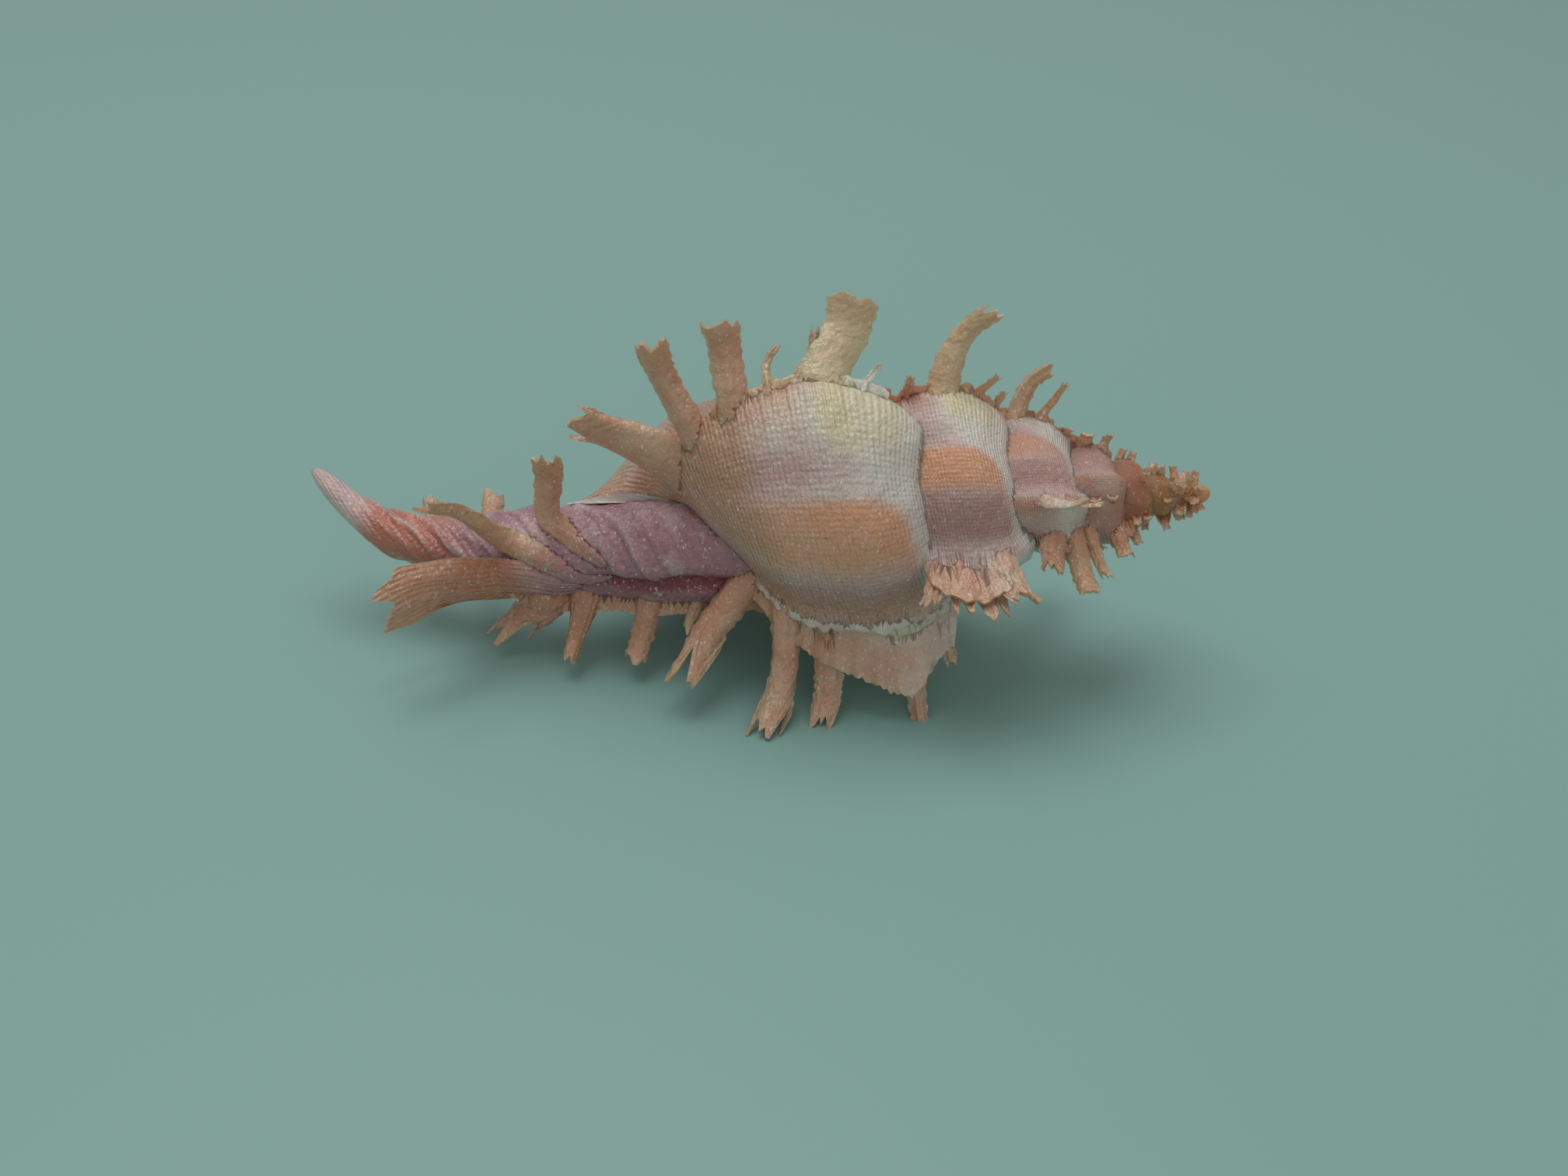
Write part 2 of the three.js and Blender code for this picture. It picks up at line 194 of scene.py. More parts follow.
@dataclass(frozen=True)
class Growth:
    """The law that the shell grew by: an outline that swells by a ratio with each whorl.

    Pairs are the middle and half width of a bump, in degrees or as a place between varices or
    across a whorl.
    """

    apex: Point = (23.05, -1.12, 10.10)
    axis: Point = (-0.998, 0.012, -0.06)
    ratio: float = 1.47
    whorls: int = 8
    lip_phi: float = 304.0
    suture: float = 17.4
    end: float = 32.0
    outline: tuple[Pair, ...] = (
        (17.4, 4.95), (18.2, 6.0), (19.4, 6.95), (20.8, 7.5), (22.4, 7.7), (24.0, 7.6),
        (25.6, 7.35), (27.0, 6.75), (28.4, 5.75), (29.6, 4.4), (30.8, 2.9), (32.0, 0.3),
    )
    early_share: float = 0.75
    early_fade: float = 3.0
    varices: tuple[float, ...] = (0, 136, 258, 349, 467, 585, 679, 815, 905, 1020, 1130, 1240, 1350, 1460)
    varix_height: float = 0.15
    varix_rise: float = 42.0
    varix_drop: float = 14.0
    flat_back: float = 0.18
    flat_theta: Pair = (-88.0, 42.0)
    blunt: float = 0.45
    lip_round: float = 9.0
    lip_left: float = 0.04
    cords: int = 30
    cord_height: float = 0.011
    pleat: float = 0.03
    pleat_cords: float = 2.6
    shoulder: float = 0.9
    knob: float = 0.28
    knob_phase: Pair = (0.45, 0.17)
    knob_across: Pair = (0.42, 0.28)
    lobe: float = 0.34
    lobe_across: Pair = (0.07, 0.07)
    uneven: float = 0.05
    nodule: float = 0.5
    nodule_across: Pair = (0.45, 0.3)
    buttresses: tuple[Point, ...] = ()

    @property
    def along(self) -> Array:
        """Unit vector down the axis."""
        return unit(np.array(self.axis))

    @property
    def down(self) -> Array:
        """Unit vector at phi 0."""
        return unit(np.array([0.0, 0.0, -1.0]) + self.along * self.along[2])

    def outwards(self, phi: Array) -> Array:
        """Unit vector away from the axis: down cos(phi) + (axis x down) sin(phi)."""
        a = np.radians(phi)[..., None]
        return self.down * np.cos(a) + np.cross(self.along, self.down) * np.sin(a)

    def polar(self, t: Array, rho: Array, phi: Array) -> Array:
        """The point at t, rho and phi."""
        t, rho = np.asarray(t, float), np.asarray(rho, float)
        return np.array(self.apex) + self.along * t[..., None] + self.outwards(phi) * rho[..., None]

    def size(self, theta: Array) -> Array:
        """How large the outline is: ratio^(theta / 360)."""
        return self.ratio ** (theta / 360.0)

    def profile(self) -> tuple[Array, Array, Array]:
        """The outline read finely: t, rho and the length along it from the suture."""
        fine = spline(np.array(self.outline), np.linspace(0, 1, 600))
        length = np.concatenate([[0.0], np.cumsum(np.linalg.norm(np.diff(fine, axis=0), axis=1))])
        return fine[:, 0], fine[:, 1], length

    def across(self, v: Array) -> Array:
        """Place across a whorl: 0 at its suture, 1 where the next one covers it, 2 at its root."""
        t, _, length = self.profile()
        covered = np.interp(self.suture * self.ratio, t, length)
        return np.interp(v, t, length) / covered

    def swelling(self, theta: Array) -> Array:
        """Height of the varices: half a cosine wave up to each crest, and a steep one down."""
        most = np.zeros_like(theta)
        for turn in self.varices:
            past = theta + turn
            share = np.where(past < 0, -past / self.varix_rise, past / self.varix_drop)
            wave = 0.5 + 0.5 * np.cos(np.pi * np.clip(share, 0, 1))
            most = np.maximum(most, np.where(share < 1, wave, 0))
        return most

    def phase(self, theta: Array) -> Array:
        """Place between two varices: 0 just past the older one, 1 at the younger one."""
        turns = np.array(self.varices, float)
        k = np.clip(np.searchsorted(turns, -theta, side="left"), 1, len(turns) - 1)
        return np.clip((turns[k] + theta) / (turns[k] - turns[k - 1]), 0.0, 1.0)

    def relief(self, v: Array, theta: Array) -> Array:
        """Cords, pleats and knobs on the surface.

        Cords are cosine ridges at equal steps across the whorl, and every other one fades out
        on small whorls. Pleats are wider waves that rise with the varices. One low knob stands
        between two varices, and low lobes lie over the suture.
        """
        size, across, phase = self.size(theta), self.across(v), self.phase(theta)
        cord = across * self.cords
        odd = ease(size, 0.5, 0.68)
        kept = (0.5 + 0.5 * np.cos(np.pi * cord)) * (1 - odd) + odd
        ridges = self.cord_height * size**0.3 * kept * (0.5 + 0.5 * np.cos(2 * np.pi * cord))
        rise = self.swelling(theta) ** 2 * ease(across, 0.02, 0.2) * (1 - ease(across, 1.4, 1.8))
        pleats = self.pleat * size * rise * np.cos(2 * np.pi * cord / self.pleat_cords)
        knob = self.knob * size * bell(phase, *self.knob_phase) * bell(across, *self.knob_across)
        knob = knob * ease(theta, -80.0, -136.0)
        scallop = 0.7 + 0.3 * np.sin(theta / 5.1)
        lobes = self.lobe * size * scallop * bell(across, *self.lobe_across) * ease(phase, 0.4, 0.75)
        return ridges + pleats + knob + lobes + self.rise(v, theta) + self.roughness(v, theta)

    def rise(self, v: Array, theta: Array) -> Array:
        """The surface drawn up behind each frond: steeply at its root, fading out behind it."""
        size = self.size(theta)
        total = np.zeros_like(theta)
        for spot, turn, width in self.buttresses:
            aside = (v - spot) * size / (0.36 * width + 0.22)
            behind = np.radians(turn - theta) * 7.0 * size
            fading = np.exp(-np.abs(behind) / (0.55 * width + 0.35))
            run = np.where(behind > 0, fading, np.exp(-((behind / 0.35) ** 2)))
            total += 0.2 * min(width, 2.6) * run * np.exp(-(aside**2)) * (np.abs(behind) < 9)
        return total

    def roughness(self, v: Array, theta: Array) -> Array:
        """Slow unevenness of the whorls, and nodules on the smallest of them."""
        size = self.size(theta)
        slow = np.sin(theta / 7.3 + 1.7 * v) * np.sin(theta / 16.1 - 0.9 * v + 1.0)
        nodules = np.maximum(0, np.cos(np.radians(theta) * 9.0)) ** 2
        nodules = nodules * bell(self.across(v), *self.nodule_across)
        return self.uneven * size**0.5 * slow + self.nodule * size * nodules * (1 - ease(size, 0.16, 0.46))

    def last_turn(self, phi: float) -> float:
        """The same angle about the axis, between lip_phi - 360 and lip_phi."""
        return self.lip_phi + ((phi - self.lip_phi) % 360.0 - 360.0)

    def placed(self, t: float, phi: float) -> Pair:
        """The outline place v and growth angle theta of the whorl that shows at t and phi."""
        _, theta, v = self.surface(np.array([t]), np.array([self.last_turn(phi)]), False)
        return float(v[0]), float(theta[0])

    def surface(self, t: Array, phi: Array, detailed: bool) -> tuple[Array, ...]:
        """Radius of the coil, the outermost of the whorls that pass there.

        Args:
            t: distance down the axis.
            phi: angle about the axis, from lip_phi - 360 to lip_phi for the last whorl.
            detailed: whether to add the relief.

        Returns:
            rho, and the growth angle theta and outline place v of the whorl that shows there.
        """
        tv, rv, _ = self.profile()
        rho = np.full(np.shape(t), self.blunt)
        theta_at, v_at = np.full(np.shape(t), -360.0 * self.whorls), np.full(np.shape(t), self.suture)
        swell = 1 + self.early_share * np.exp(-t / self.early_fade)
        behind = np.copy(rho)
        for k in range(self.whorls - 1, -1, -1):
            theta = phi - self.lip_phi - 360.0 * k
            size = self.size(theta)
            v = t / size
            swelling = self.swelling(theta)
            v = v + self.shoulder * swelling * (1 - ease(v, self.suture, self.suture + 4.0))
            reach = np.interp(v, tv, rv) * size * swell * (1 + self.varix_height * swelling)
            if detailed:
                reach = reach + self.relief(v, theta)
            if k == 0:
                flat = self.flat_back * bell(theta, *self.flat_theta)
                reach = reach * (1 - flat * (1 - ease(t, 24.0, 28.0)))
                left = np.clip((theta + self.lip_round) / self.lip_round, 0, 1)
                reach = behind + (reach - behind) * np.maximum(np.sqrt(1 - left**2), self.lip_left)
            shown = (v >= self.suture) & (v <= self.end) & (reach > rho)
            rho = np.where(shown, reach, rho)
            theta_at = np.where(shown, theta, theta_at)
            v_at = np.where(shown, v, v_at)
            behind = np.copy(rho)
        return rho, theta_at, v_at

    def at(self, t: float, phi: float) -> Array:
        """The point on the plain surface of the last whorls at t and phi."""
        rho, _, _ = self.surface(np.array([t]), np.array([self.last_turn(phi)]), False)
        return self.polar(np.array([t]), rho, np.array([phi]))[0]


@dataclass(frozen=True)
class Whorls:
    """The coil: a ribbon that follows the growth of the shell, so that its cords run along it.

    It has per_whorl rows in a whorl, columns points in a row and kept whorls above the last
    one, and its root closes on the axis at root_t.
    """

    growth: Growth
    per_whorl: int = 90
    columns: int = 68
    kept: int = 5
    root_t: float = 27.0

    def rows(self) -> Array:
        """t of each row at the lip: equal steps of length across a whorl, scaled for each whorl."""
        g = self.growth
        t, _, length = g.profile()
        covered = np.interp(g.suture * g.ratio, t, length)
        step = covered / self.per_whorl
        one = np.interp(np.arange(self.per_whorl) * step, length, t)
        above = [one * g.ratio**-k for k in range(self.kept, 0, -1)]
        base = np.interp(np.arange(covered, length[-1], step * 1.5), length, t)
        return np.concatenate([*above, one, base, [g.end]])

    def skin(self) -> Skin:
        """The ribbon, welded to itself above the last suture and closed at the lip and ends."""
        g = self.growth
        rows = self.rows()
        turned = np.linspace(-360.0, 0.0, self.columns + 1)
        t = rows[:, None] * g.size(turned)[None, :]
        phi = np.broadcast_to(g.lip_phi + turned, t.shape)
        rho, theta, v = g.surface(t, phi, True)
        points = g.polar(t, rho, phi).reshape(-1, 3)
        count, wide = t.shape
        welded = self.per_whorl * self.kept + 1
        number = np.arange(count * wide).reshape(count, wide)
        number[:welded, -1] = number[self.per_whorl:self.per_whorl + welded, 0]
        a, b = number[:-1, :-1], number[:-1, 1:]
        quads = np.stack([a, b, number[1:, 1:], number[1:, :-1]], -1).reshape(-1, 4).tolist()
        tip, root = count * wide, count * wide + 1
        points = np.vstack([points, g.polar(np.array([0.02, self.root_t]), np.zeros(2), np.zeros(2))])
        made = in_line(self.traits(theta, v))
        lip = number[welded - 1:, -1].tolist() + number[self.per_whorl + welded - 1:, 0][::-1].tolist()
        first = number[0, :-1].tolist() + number[self.per_whorl:0:-1, 0].tolist()
        last = number[-1].tolist()
        faces = quads + [lip[:-1][::-1]]
        faces += [[tip, b, a] for a, b in zip(first, first[1:] + first[:1])]
        faces += [[root, a, b] for a, b in zip(last, last[1:] + last[:1])]
        made = {name: np.append(value, value[[0, -1]]) for name, value in made.items()}
        return Skin(points, faces, made)

    def traits(self, theta: Array, v: Array) -> Traits:
        """Where each colour lies: by place between two varices and place across the whorl."""
        g = self.growth
        across, phase = g.across(v), g.phase(theta)
        made = filled(theta.shape)
        made["cord"] = across * g.cords
        made["turn"] = theta / 360.0
        small = ease(g.size(theta), 0.62, 0.5)
        early = ease(theta, -400.0, -450.0)
        lifted = phase - 0.07 * small
        band = ease(lifted, 0.2 + 0.1 * early, 0.44 + 0.04 * early) * (1 - ease(lifted, 0.57, 0.67))
        made["blush"] = band * (1 - ease(across, 0.9, 1.6)) * ease(across, 0.02, 0.3)
        made["mauve"] = bell(phase, 0.18 + 0.08 * early, 0.16 + 0.04 * early)
        made["mauve"] += 0.7 * bell(phase, 0.72, 0.09) * ease(across, 0.4, 0.9)
        made["cream"] = bell(phase, 0.93, 0.16) * (1 - ease(across, 0.45, 0.8)) * (1 - 0.7 * small)
        made["cream"] *= ease(across, 0.08, 0.26)
        made["reach"] = 0.3 * (bell(phase, 1.0, 0.2) + bell(phase, 0.0, 0.03)) * ease(across, 0.5, 0.85)
        wide = 0.3 * ease(phase, 0.5, 0.72)
        made["callus"] = 1 - ease(across, 0.05 + wide, 0.26 + 1.3 * wide) + 0.12 * bell(phase, 0.0, 0.03)
        edge = ease(across, 0.85, 1.35) * (0.5 + 0.5 * ease(phase, 0.2, 0.6))
        made["brown"] = (edge + 0.55 * bell(phase, 0.08, 0.14)) * ease(theta, -350, -300)
        return made


@dataclass(frozen=True)
class Canal:
    """The siphonal canal: a tube that bends towards +Y and turns up at its tip."""

    growth: Growth
    route: tuple[Point, ...] = (
        (3.75, -0.8, 7.3), (-1.75, -1.0, 6.2), (-5.95, -1.1, 5.8), (-10.75, -0.8, 5.5),
        (-14.75, 0.2, 4.9), (-18.75, 1.2, 5.1), (-22.65, 3.2, 7.2),
    )
    radii: tuple[float, ...] = (3.4, 3.0, 2.45, 1.95, 1.45, 1.1, 0.75)
    steps: int = 126
    around: int = 60
    fold: float = 0.4
    folds: float = 14.0
    cords: float = 40.0
    slit_phi: float = 344.0
    tip_from: float = 0.93

    def centre(self, share: Array) -> Array:
        """Middle of the tube at a share of its length."""
        return spline(np.array(self.route), np.atleast_1d(share))

    def radius(self, share: Array) -> Array:
        """Radius of the tube at a share of its length."""
        return spline(np.array(self.radii)[:, None], np.atleast_1d(share))[:, 0]

    def at(self, share: float, phi: float) -> Array:
        """The point on the plain tube at a share of its length and an angle about the axis."""
        way = self.growth.outwards(np.array([phi]))
        return (self.centre(share) + way * self.radius(share)[:, None])[0]

    def skin(self) -> Skin:
        """The tube with slanting folds, where lamellae overlap, and a crease under each row; painted shade
        darkens the crease and the slit.

        The radius at share s and angle phi is radius(s) + fold x saw(s, phi) - crease(phi).
        """
        g = self.growth
        share = np.linspace(0, 1, self.steps)[:, None]
        phi = np.linspace(self.slit_phi - 360, self.slit_phi, self.around, endpoint=False)[None, :]
        radius = self.radius(share[:, 0])[:, None]
        past = (share - self.tip_from) / (1 - self.tip_from)
        tip = np.sqrt(np.clip(1 - past**2, 0.02, 1)) ** (share > self.tip_from)
        slant = share * self.folds - phi * 7.0 / 360.0 + 0.16 * np.sin(share * 31.0 + phi / 40.0)
        saw = (slant % 1.0) ** 2 * (1 - ease(slant % 1.0, 0.82, 1.0))
        cord = share * self.cords - phi / 24.0
        fine = 0.5 + 0.5 * np.cos(2 * np.pi * cord)
        broken = 0.55 + 0.45 * np.sin(share * 17.0 - phi / 31.0)
        seen = ease(share, 0.2, 0.3) * (1 - ease(share, 0.8, 0.95))
        rho = radius * tip + (self.fold * saw * broken + 0.018 * fine) * seen
        wander = 80.0 - 14.0 * ease(share, 0.36, 0.6) + 3.0 * np.sin(share * 40.0)
        # painted shade: the crease, the slit and a broad band beside the crease are darkened towards deep
        # rose
        crease = bell(phi - wander, 0, 8.0) * ease(share, 0.02, 0.1) * (1 - ease(share, 0.6, 0.8))
        slit = bell((phi - self.slit_phi + 180) % 360 - 180, 0, 13.0)
        slit = slit * ease(share, 0.3, 0.4) * (1 - ease(share, 0.9, 0.99))
        rho = rho * (1 - 0.17 * crease - 0.3 * slit)
        rings = self.centre(share[:, 0])[:, None, :] + g.outwards(phi[0])[None] * rho[..., None]
        top = ease(phi, 60.0, 140.0) * (1 - ease(phi, 220.0, 300.0))
        shade = bell(phi - wander + 9.0, 0, 20.0) * ease(share, 0.02, 0.1) * (1 - ease(share, 0.5, 0.75))
        return stack_skin(rings, filled(
            rho.shape, along=share, cord=cord, turn=share * 0.45 + phi / 2000.0,
            callus=(0.08 + 0.5 * saw * broken) * seen * (0.3 + 0.7 * top) * (1 - crease),
            blush=ease(share, 0.58, 0.72) * (1 - ease(share, 0.84, 0.92)) * (1 - top),
            crease=crease + slit + 0.45 * shade,
        ))


class Row(Enum):
    """The three rows of varices, by the side that each one lies on."""

    TOP = "top"
    NEAR = "near"
    FAR = "far"


@dataclass(frozen=True)
class Frond:
    """One frond: an open gutter from its root on a varix to its frayed tip.

    Sizes are in millimetres, angles in degrees and the rest are shares. Its section at each
    step is an arc as wide as the frond, and an inner arc a wall further in.

    Args:
        seed: its number, which also starts its random draws.
        place: its root, as (t, phi) on the coil or (share, phi) on the canal.
        tip: the middle of its tip.
        width, end, taper: its width at root and tip, and the power that it goes by between them.
        on_canal: whether it stands on the canal.
        sway, bow: how far its middle bends to the side and forwards.
        flare: how much wider its foot is.
        fray: how deep the notches in its tip are.
        web: height of the web beside it.
        facing, turned: 1 where its hollow side faces the growing side, -1 where it faces back,
            and for one that lies on the canal, how far it turns there.
        back, sink, inward: where it starts: degrees behind its root, depth, and towards the apex.
        via: places on the canal that it lies along before its root.
        half_arc: half the angle of its arc.
        cream, pale, blush, lines: how much cream, white, red and how many lines its colour has.
        side_points: points across its arc.
    """

    seed: int
    place: Pair
    tip: Point
    width: float
    end: float
    on_canal: bool = False
    sway: float = 0.0
    bow: float = 0.1
    flare: float = 0.3
    fray: float = 0.1
    taper: float = 0.7
    half_arc: float = 86.0
    web: float = 0.25
    facing: float = 1.0
    turned: float = 1.0
    back: float = 15.0
    sink: float = 0.7
    inward: float = 0.0
    via: tuple[Pair, ...] = ()
    cream: float = 0.0
    pale: float = 0.0
    blush: float = 0.0
    lines: float = 0.0
    side_points: int = 13

    def root(self, growth: Growth, canal: Canal) -> Array:
        """The point on the shell that the frond grows from."""
        return canal.at(*self.place) if self.on_canal else growth.at(*self.place)

    def path(self, growth: Growth, canal: Canal) -> tuple[Array, Array]:
        """Points of the middle line, and the way that the hollow side faces at each.

        The line starts below the surface on the older side of the root, comes up through the
        root and bends outwards to the tip. Its hollow side faces the surface at first and the
        growing side at the tip. Where a frond first lies along the canal, it faces the canal.
        """
        share, phi = self.place
        surface = self.root(growth, canal)
        out = growth.outwards(np.array([phi]))[0]
        ahead = growth.outwards(np.array([phi + 90.0]))[0] * self.facing
        tip = np.array(self.tip)
        reach = tip - surface
        forwards = unit(ahead - reach * (ahead @ reach) / (reach @ reach))
        side = np.cross(unit(reach), forwards)
        bend = forwards * np.linalg.norm(reach) * self.bow
        middle = surface + reach * 0.55 + bend * 0.9 + side * self.sway
        if not self.via:
            older = phi - self.back * self.facing
            at, way = (canal.at if self.on_canal else growth.at), growth.outwards(np.array([older]))[0]
            start = at(share, older) - way * (self.sink + 0.5 * self.width) - growth.along * self.inward
            ways = [ahead - way, ahead - 0.5 * out, ahead, ahead]
            return np.array([start, surface, middle, tip]), np.array(ways)
        outs = [growth.outwards(np.array([spot[1]]))[0] for spot in self.via]
        depths = (0.9, 0.5, 0.3, 0.2)
        laid = [canal.at(*spot) - way * deep for spot, way, deep in zip(self.via, outs, depths)]
        last = unit(ahead * self.turned - out * (1 - self.turned))
        ways = [*(-way for way in outs), unit(last - out), last, last]
        return np.array([*laid, surface + out * 0.25, middle, tip]), np.array(ways)

    def skin(self, growth: Growth, canal: Canal) -> Skin:
        """The gutter, with ribs along its back, teeth along its edges and notches in its tip."""
        rng = np.random.default_rng(self.seed)
        points, ways = self.path(growth, canal)
        length = float(np.linalg.norm(np.diff(points, axis=0), axis=1).sum())
        steps = int(np.clip(length / 0.2, 9, 46))
        v = np.linspace(0, 1, steps)[:, None]
        u = np.linspace(-1, 1, self.side_points)[None, :]
        half = 0.5 * (self.width + (self.end - self.width) * v**self.taper)
        half = half + 0.5 * self.width * self.flare * bell(v, 0.0, 0.17)
        half = half + 0.1 * self.end * ease(v, 0.8, 1.0)
        if self.via:
            half = half * (0.4 + 0.6 * ease(v, 0.0, 0.45))

        def phase() -> float:
            """A random phase."""
            return rng.uniform(0, ANY_PHASE)

        notch = 0.5 + 0.5 * np.sin(np.pi * rng.uniform(1.2, 2.6) * u + phase())
        notch = 0.7 * notch + rng.uniform(-0.35, 0.35, u.shape) + 0.5 * rng.uniform(-1, 1) * u + 0.7 * u**6
        reached = np.clip(v - self.fray * np.clip(notch, -0.1, 1.2) * ease(v, 0.5, 1.0), 0, 1)
        run = v * length
        teeth = np.abs((run / 0.3 + rng.uniform(0, 1)) % 1.0 - 0.5) * 2.0
        uneven = 0.5 + 0.5 * np.sin(run * 2.9 + phase()) * np.sin(run * 1.3 + phase())
        edge = np.abs(u) ** 5
        grown = ease(v, 0.08, 0.25)
        wide = half + edge * (0.13 * teeth * (0.4 + uneven) - 0.06) * grown * min(1.0, self.width / 1.2)
        waves = np.sin(4.5 * v + phase()) + 0.6 * np.sin(11 * v + phase()) * u
        wide = wide * (1 + 0.06 * waves * grown)
        arc = np.radians(self.half_arc)
        depth = np.minimum(np.tan(arc / 2) * half, 0.9) * (1 - 0.2 * v)
        wall = np.minimum(0.36, 0.5 * half) * (1 - 0.5 * v)
        ribs = max(2, round(self.width / 0.45))
        rib = 0.034 * (np.cos(2 * np.pi * ribs * u / 2 + 2.0 * v) + rng.uniform(-1, 1, u.shape)) * grown
        x = wide * np.sin(arc * u) / np.sin(arc)
        y = -depth * (np.cos(arc * u) - np.cos(arc)) / (1 - np.cos(arc))
        deeper = y * (1 - wall / depth) + 0.25 * wall * (1 - edge) - 0.6 * rib
        line = spline(points, reached.reshape(-1)).reshape(*reached.shape, 3)
        middle = spline(points, v[:, 0])
        along = unit(np.gradient(middle, axis=0))
        across = unit(np.cross(along, spline(ways, v[:, 0])))
        front = np.cross(across, along)

        def both(outer: Array, inner: Array) -> Array:
            """Values of the outer arc and, in the opposite order, of the inner one."""
            return np.concatenate([outer, inner[:, ::-1]], axis=1)

        def placed(aside: Array, forwards: Array) -> Array:
            """Section coordinates carried to the middle line."""
            return line + across[:, None] * aside[..., None] + front[:, None] * forwards[..., None]

        rings = both(placed(x, y - rib), placed(x * (1 - 0.5 * wall / half), deeper))
        grow = reached**1.5 if self.via else 0.3 + 0.7 * reached
        reach = both(grow, grow)
        return tube_skin(rings, filled(
            rings.shape[:2], reach=reach, hollow=both(0 * u, 0 * u + 1), cord=both(u, u) * self.lines,
            turn=v * length / 120.0, along=0.5 * self.on_canal, callus=self.pale, cream=self.cream,
            blush=self.blush * (1 - reach**2),
        ))


def group(*fronds: Frond, **shared: float) -> tuple[Frond, ...]:
    """Fronds that stand together, with the settings that they share."""
    return tuple(replace(frond, **shared) for frond in fronds)


# the hollow side faces the older whorl, and the root starts close by
BACKWARDS = {"facing": -1.0, "back": 4.0}

FRONDS: dict[Row, tuple[Frond, ...]] = {
    Row.TOP: (
        Frond(16, (17.0, 169), (6.5, -1.1, 16.7), 0.8, 0.3, flare=1.0, cream=0.35, pale=0.85),
        Frond(
            9, (19.0, 169), (5.15, 0.4, 19.5), 2.9, 2.0, sway=-0.4, flare=0.4, fray=0.05, cream=0.95,
            pale=0.35, half_arc=50.0, back=9.0,
        ),
        Frond(
            10, (20.1, 169), (3.35, -0.4, 18.2), 1.0, 0.4, flare=0.6, sway=-0.3, cream=0.5, pale=0.4,
            back=9.0,
        ),
        Frond(8, (21.4, 167), (1.65, -0.9, 17.4), 0.8, 0.3, flare=0.9, sway=0.3, cream=0.4, back=8.0),
        Frond(7, (23.1, 166), (-1.15, -1.2, 18.9), 1.2, 1.7, cream=0.15, back=8.0),
        Frond(6, (25.0, 165), (-4.25, -2.2, 18.3), 1.9, 1.3, sway=0.4, inward=0.8, back=8.0),
        Frond(
            5, (26.2, 164), (-8.25, -1.9, 13.9), 2.3, 1.7, sway=0.3, fray=0.2, web=0.1, half_arc=120.0,
            inward=2.2, back=8.0,
        ),
        Frond(
            4, (0.45, 165), (-9.25, -2.7, 12.5), 1.6, 1.2, True, web=0.0,
            via=((0.3, 78), (0.34, 100), (0.39, 128)),
        ),
        Frond(
            2, (0.53, 136), (-15.15, -4.4, 10.4), 2.2, 1.2, True, web=0.0,
            via=((0.33, 72), (0.4, 84), (0.46, 108)),
        ),
    ),
    Row.NEAR: (
        *group(
            Frond(24, (13.4, 40), (10.7, -5.9, 2.6), 1.4, 0.5, cream=0.1, pale=0.5, web=1.8),
            Frond(
                23, (14.9, 43), (9.25, -7.1, -0.3), 2.4, 0.7, flare=0.1, fray=0.05, cream=0.1, pale=0.32,
                web=3.1, half_arc=44.0,
            ),
            Frond(
                22, (18.9, 44), (4.15, -7.9, -0.3), 1.7, 1.25, sway=0.3, fray=0.18, blush=0.4, pale=0.05,
                web=1.3, half_arc=44.0,
            ),
            Frond(21, (20.9, 44), (1.25, -8.7, -0.3), 1.7, 1.35, sway=0.5, fray=0.18, blush=0.4, web=0.9),
            Frond(20, (22.6, 44), (-2.75, -7.2, 1.7), 1.8, 1.6, sway=-0.3, fray=0.24, blush=0.3, web=0.6),
            Frond(19, (24.4, 40), (-2.45, -4.2, 2.7), 1.0, 0.7, blush=0.4),
            Frond(18, (0.28, 38), (-5.25, -4.5, 1.0), 1.9, 0.9, True, blush=0.5, web=0.5),
            Frond(17, (0.4, 38), (-8.55, -4.5, 1.0), 2.3, 0.7, True, blush=0.7, lines=3.0, web=0.5),
            Frond(
                15, (0.46, 34), (-12.35, -2.6, 0.6), 2.6, 1.7, True, blush=0.7, fray=0.36, lines=3.0,
                web=0.9,
            ),
            **BACKWARDS,
        ),
        Frond(
            14, (0.58, 72), (-17.75, -5.5, 4.6), 3.7, 2.7, True, blush=0.8, flare=0.0, taper=1.5,
            half_arc=70.0, web=0.2, turned=-0.4, lines=7.0, via=((0.36, 52), (0.43, 58), (0.5, 66)),
        ),
    ),
    Row.FAR: (
        Frond(30, (18.4, 302), (6.85, 7.9, -0.3), 3.0, 1.6, cream=0.5),
        Frond(31, (20.2, 302), (2.45, 8.3, -0.3), 2.2, 1.6),
        Frond(32, (22.6, 302), (-1.55, 8.9, 0.7), 2.2, 1.5),
        Frond(33, (24.8, 302), (-4.75, 8.3, 1.5), 2.2, 1.6),
        Frond(34, (26.4, 302), (-8.95, 7.3, 1.5), 2.2, 1.7, fray=0.2),
        Frond(35, (27.2, 300), (-10.15, 5.4, 3.1), 1.4, 1.1),
        Frond(36, (0.6, 296), (-13.95, 6.4, 4.2), 1.5, 1.0, True),
        Frond(37, (0.73, 300), (-16.95, 4.7, 4.9), 1.3, 0.7, True),
    ),
}

